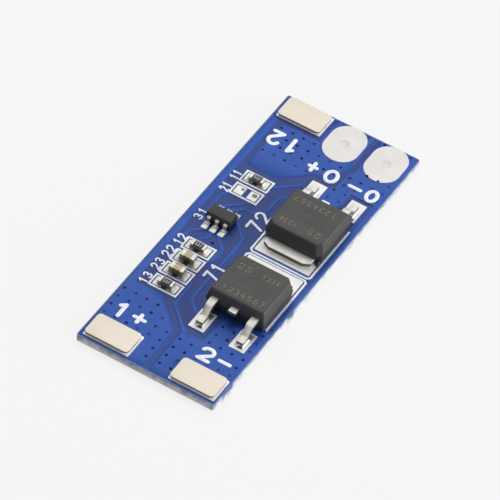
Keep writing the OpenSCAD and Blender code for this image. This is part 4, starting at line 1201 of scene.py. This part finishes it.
# %% A pen for digits
def curve(cx, cy, rx, ry, start, end, steps=14):
    """Part of an ellipse: centre + (rx cos a, ry sin a), with a in degrees."""
    a = np.radians(np.linspace(start, end, steps))
    return np.stack([cx + rx * np.cos(a), cy + ry * np.sin(a)], -1)


def strokes(*points):
    """Straight strokes from point to point, each with round ends of its own."""
    p = np.array(points, float)
    return [p[i:i + 2] for i in range(len(p) - 1)]


def ring_strokes(cx, cy, rx, ry):
    """A closed ring drawn as a left and a right stroke."""
    return [curve(cx, cy, rx, ry, 88, 272), curve(cx, cy, rx, ry, -92, 92)]


DIGITS = {
    "0": ring_strokes(0.3, 0.5, 0.3, 0.5),
    "1": strokes((0.1, 0.8), (0.34, 1), (0.34, 0)),
    "2": [curve(0.3, 0.7, 0.3, 0.3, 165, -30)] + strokes((0.56, 0.55), (0, 0), (0.6, 0)),
    "3": [curve(0.28, 0.76, 0.28, 0.24, 150, -80), curve(0.28, 0.26, 0.32, 0.26, 80, -150)],
    "4": strokes((0.42, 1), (0, 0.3), (0.6, 0.3)) + strokes((0.43, 0.6), (0.43, 0)),
    "5": strokes((0.54, 1), (0.08, 1), (0.06, 0.56)) + [curve(0.27, 0.31, 0.33, 0.31, 125, -145)],
    "6": [curve(0.55, 0.35, 0.55, 0.65, 95, 180)] + ring_strokes(0.3, 0.3, 0.3, 0.3),
    "7": strokes((0, 1), (0.6, 1), (0.2, 0)),
    "+": strokes((0, 0.5), (0.6, 0.5)) + strokes((0.3, 0), (0.3, 1)),
    "-": strokes((0, 0.5), (0.6, 0.5)),
    "square 3": strokes((0, 1), (0.6, 1), (0.6, 0), (0, 0)) + strokes((0.05, 0.5), (0.6, 0.5)),
}
print("signs that can be written:", " ".join(DIGITS))

# %% [markdown]
# ## A line of signs
# A line of signs fills a box on the board: the box is shared out evenly, each sign is stretched to its share,
# and the whole line is turned about the middle of the box. Strokes that cross would lie in one plane and
# flicker, so each next stroke of a sign is a hair lower.

# %% From signs to ink
DIGIT_W, STROKE_DROP = 0.6, 0.0015


def lettering(text, corner, far_corner, pen, low, high, turn=0, gap=0.2):
    """Ink for a line of signs in a box. Point = path * (cell size - pen) + place of the cell + half a pen,
    all turned by the angle in degrees about the middle of the box."""
    corner, far_corner = np.array(corner, float), np.array(far_corner, float)
    size = (far_corner - corner)[::-1] if turn % 180 else far_corner - corner
    cell = (size[0] - gap * (len(text) - 1)) / len(text)
    a = math.radians(turn)
    spin = np.array([[math.cos(a), math.sin(a)], [-math.sin(a), math.cos(a)]])
    solids = []
    for i, sign in enumerate(text):
        for j, path in enumerate(DIGITS[sign]):
            flat = path * [(cell - pen) / DIGIT_W, size[1] - pen] + [i * (cell + gap) + pen / 2, pen / 2]
            flat = (flat - size / 2) @ spin + (corner + far_corner) / 2
            solids.append(solid(ribbon(flat, pen, low, high - STROKE_DROP * j)))
    return solids


print("solids in a printed 12:", len(lettering("12", (0, 0), (3, 2), 0.2, 0, 0.1)))

# %% [markdown]
# ## Numbers beside terminals and parts
# Large signs name the terminals: cell one's plus, cell two's minus, the tap between cells one and two, and
# output nought's plus and minus. The outputs' signs and the tap's stand upside down, as they are read from
# the far end. Small signs name each part; they are turned by a quarter, and the first digit tells the kind of
# part. Places count from the front left corner of the board.

# %% Numbers on the board
BIG_PEN, PART_PEN, SMALL_PEN = 0.42, 0.27, 0.18
GAPS = {BIG_PEN: 0.45, PART_PEN: 0.35, SMALL_PEN: 0.2}
INK_TOP = COPPER_TOP + 0.02
# signs, left, front, right, back, pen, turn in degrees
SIGNS = [
    ("1", 1.13, 4.15, 2.65, 6.25, BIG_PEN, 0), ("+", 3.10, 4.50, 4.70, 6.00, BIG_PEN, 0),
    ("2", 10.80, 4.15, 12.40, 6.15, BIG_PEN, 0), ("-", 12.80, 4.90, 14.35, 5.50, BIG_PEN, 0),
    ("12", 1.30, 33.30, 4.75, 35.55, BIG_PEN, 180), ("0", 8.60, 32.10, 10.20, 34.10, BIG_PEN, 180),
    ("+", 6.60, 32.40, 7.85, 33.95, BIG_PEN, 180), ("0", 13.35, 32.15, 14.80, 34.10, BIG_PEN, 180),
    ("-", 11.30, 32.90, 12.95, 33.35, BIG_PEN, 180),
    ("72", 5.85, 21.95, 7.60, 24.65, PART_PEN, 90), ("71", 5.85, 13.75, 7.45, 15.95, PART_PEN, 90),
    ("31", 0.92, 20.05, 1.90, 21.60, SMALL_PEN, 90), ("11", 0.96, 26.95, 2.02, 28.15, SMALL_PEN, 90),
    ("21", 0.93, 24.95, 2.05, 26.10, SMALL_PEN, 90), ("12", 1.03, 15.95, 2.13, 17.40, SMALL_PEN, 90),
    ("22", 0.95, 13.85, 2.10, 15.40, SMALL_PEN, 90), ("23", 0.97, 11.80, 2.05, 13.30, SMALL_PEN, 90),
    ("13", 1.00, 9.50, 2.03, 11.00, SMALL_PEN, 90),
]
ink = []
for text, x0, y0, x1, y1, pen, turn in SIGNS:
    ink += lettering(text, FRONT_LEFT + [x0, y0], FRONT_LEFT + [x1, y1], pen, TOP, INK_TOP, turn, GAPS[pen])
make_piece("printed_numbers", ink, INK)

# %% [markdown]
# ## Marks on the transistors
# A laser writes on a moulding by burning its skin, which leaves dull brown lines hardly above the surface.
# The marks here are plain counting numbers. They are written like the ink, only thinner, round the middle of
# the body, and turned with it. On the second transistor they stand a little further from the leads.

# %% Laser marks
# signs, left, front, right, back, pen, gap
MARKS = [("1234567", -2.20, -2.30, 2.45, -1.55, 0.10, 0.22), ("1234", 0.40, 1.05, 2.30, 1.70, 0.09, 0.14),
         ("25", -2.30, 0.95, -0.85, 1.75, 0.10, 0.2)]
MARK_LOW, MARK_TOP, SHIFT_TURNED = BODY_H - 0.01, BODY_H + 0.009, 0.35
for tag, where in TRANSISTORS.items():
    shift = np.array([0, SHIFT_TURNED if where["half_turn"] else 0.0])
    solids = []
    for text, x0, y0, x1, y1, pen, gap in MARKS:
        line = lettering(text, shift + [x0, y0], shift + [x1, y1], pen, MARK_LOW, MARK_TOP, gap=gap)
        solids += [(place(points, **where), faces) for points, faces in line]
    make_piece(tag + "_laser_marks", solids, MARK)

# %% [markdown]
# ## Digits on the resistors
# Each resistor gets one pale digit of straight strokes on its glass coat, turned by a quarter.

# %% Resistor digits
solids = []
for tag in ("r1", "r2", "r3"):
    middle, top = plan_of(tag + "_ends")[0], levels_of(tag + "_ends")[1]
    solids += lettering(["square 3"], middle + [-0.34, -0.20], middle + [0.30, 0.26], 0.09, top - 0.02,
                        top - 0.002, turn=-90)
make_piece("resistor_digits", solids, ALUMINA_PALE)

# %% [markdown]
# ## Camera
# The board is seen from the front right and from well above, through a very long lens, so that edges stay
# nearly parallel. The camera looks along its own -z axis, and its three angles turn it about x, y and z.

# %% Camera
LENS_MM, SENSOR_MM = 319.03, 36
CAMERA_AT_MM, CAMERA_TURN = (124.357, -275.155, 316.321), (43.33483, -6.04793, 30.72292)
camera_data = bpy.data.cameras.new("camera")
camera_data.lens, camera_data.sensor_width = LENS_MM, SENSOR_MM
camera_data.clip_start, camera_data.clip_end = 0.01, 10
camera = bpy.data.objects.new("camera", camera_data)
camera.location = np.array(CAMERA_AT_MM) * MM
camera.rotation_euler = [math.radians(angle) for angle in CAMERA_TURN]
bpy.context.scene.collection.objects.link(camera)
bpy.context.scene.camera = camera
print("camera distance in mm:", round(float(np.linalg.norm(CAMERA_AT_MM))))

# %% [markdown]
# ## Light
# The light is soft. A large panel at the back left is the main one: front faces fall dark and short shadows
# run to the front right. It doesn't show in shiny metal, where it would be a hard white square. A panel at
# the right brightens the right faces and the cut edge of the board, a weak one lights the front, and one
# below lights the underside. Two more cards do the opposite of the main panel: they show in shiny metal but
# light nothing else, so the flat metal and the sloping leads don't look black.

# %% Panels, cards and the faint light all round
# name, place in metres, size in metres, power, lights dull surfaces, shows in shiny ones
PANELS = [
    ("back_panel", (-0.36, 0.66, 0.90), 0.9, 13.0, True, False),
    ("right_panel", (1.22, 0.42, 0.36), 0.8, 17.5, True, True),
    ("front_fill", (0.10, -1.30, 0.20), 0.9, 3.0, True, True),
    ("under_fill", (0.0, -0.1, -1.2), 0.9, 7.0, True, True),
    ("overhead_card", (-0.25, 0.36, 1.05), 2.3, 13.0, False, True),
    ("front_card", (0.05, -0.75, 0.85), 1.6, 2.9, False, True),
]
for name, at_m, size_m, power, on_dull, in_shiny in PANELS:
    light = bpy.data.lights.new(name, "AREA")
    light.shape, light.size, light.energy = "SQUARE", size_m, power
    panel = bpy.data.objects.new(name, light)
    panel.location = at_m
    back = np.array(at_m) / np.linalg.norm(at_m)
    panel.rotation_euler = (math.acos(back[2]), 0, math.atan2(back[0], -back[1]))
    panel.visible_diffuse, panel.visible_glossy = on_dull, in_shiny
    bpy.context.scene.collection.objects.link(panel)
world = bpy.data.worlds.new("studio")
world.use_nodes = True
background = world.node_tree.nodes["Background"]
background.inputs["Color"].default_value = (0.98, 0.99, 1.0, 1)
background.inputs["Strength"].default_value = 0.115
bpy.context.scene.world = world
print("panels and cards:", len(PANELS))

# %% [markdown]
# ## Floor
# The board lies on pale paper that glows evenly by itself, so it stays nearly one flat tone whatever the
# panels do. It casts no shadow and throws no light on dull surfaces; it only shows in shiny ones. Its back
# face is clear, so the underside of the board can be looked at from below, and it lies a little lower than
# the board, because two faces in one plane would flicker.

# %% Pale floor
FLOOR_Z, FLOOR_HALF, FLOOR_GLOW = -0.02 * MM, 2, 0.80
corners = [(x, y, FLOOR_Z) for x, y in ((-1, -1), (1, -1), (1, 1), (-1, 1))]
floor_mesh = bpy.data.meshes.new("floor")
floor_mesh.from_pydata([(x * FLOOR_HALF, y * FLOOR_HALF, z) for x, y, z in corners], [], [(0, 1, 2, 3)])
floor = bpy.data.objects.new("floor", floor_mesh)
bpy.context.scene.collection.objects.link(floor)
paper, tree, shader = new_material("pale_floor")
shader.inputs["Base Color"].default_value = (0.1, 0.1, 0.1, 1)
shader.inputs["Roughness"].default_value = 0.9
shader.inputs["Emission Color"].default_value = (1, 1, 1, 1)
shader.inputs["Emission Strength"].default_value = FLOOR_GLOW
one_sided = tree.nodes.new("ShaderNodeMixShader")
clear = tree.nodes.new("ShaderNodeBsdfTransparent")
tree.links.new(tree.nodes.new("ShaderNodeNewGeometry").outputs["Backfacing"], one_sided.inputs["Fac"])
tree.links.new(shader.outputs["BSDF"], one_sided.inputs[1])
tree.links.new(clear.outputs["BSDF"], one_sided.inputs[2])
tree.links.new(one_sided.outputs["Shader"], tree.nodes["Material Output"].inputs["Surface"])
floor_mesh.materials.append(paper)
floor.visible_diffuse = False
floor.visible_shadow = False
bpy.context.scene.view_settings.view_transform = "Standard"
print("floor at", FLOOR_Z / MM, "mm")
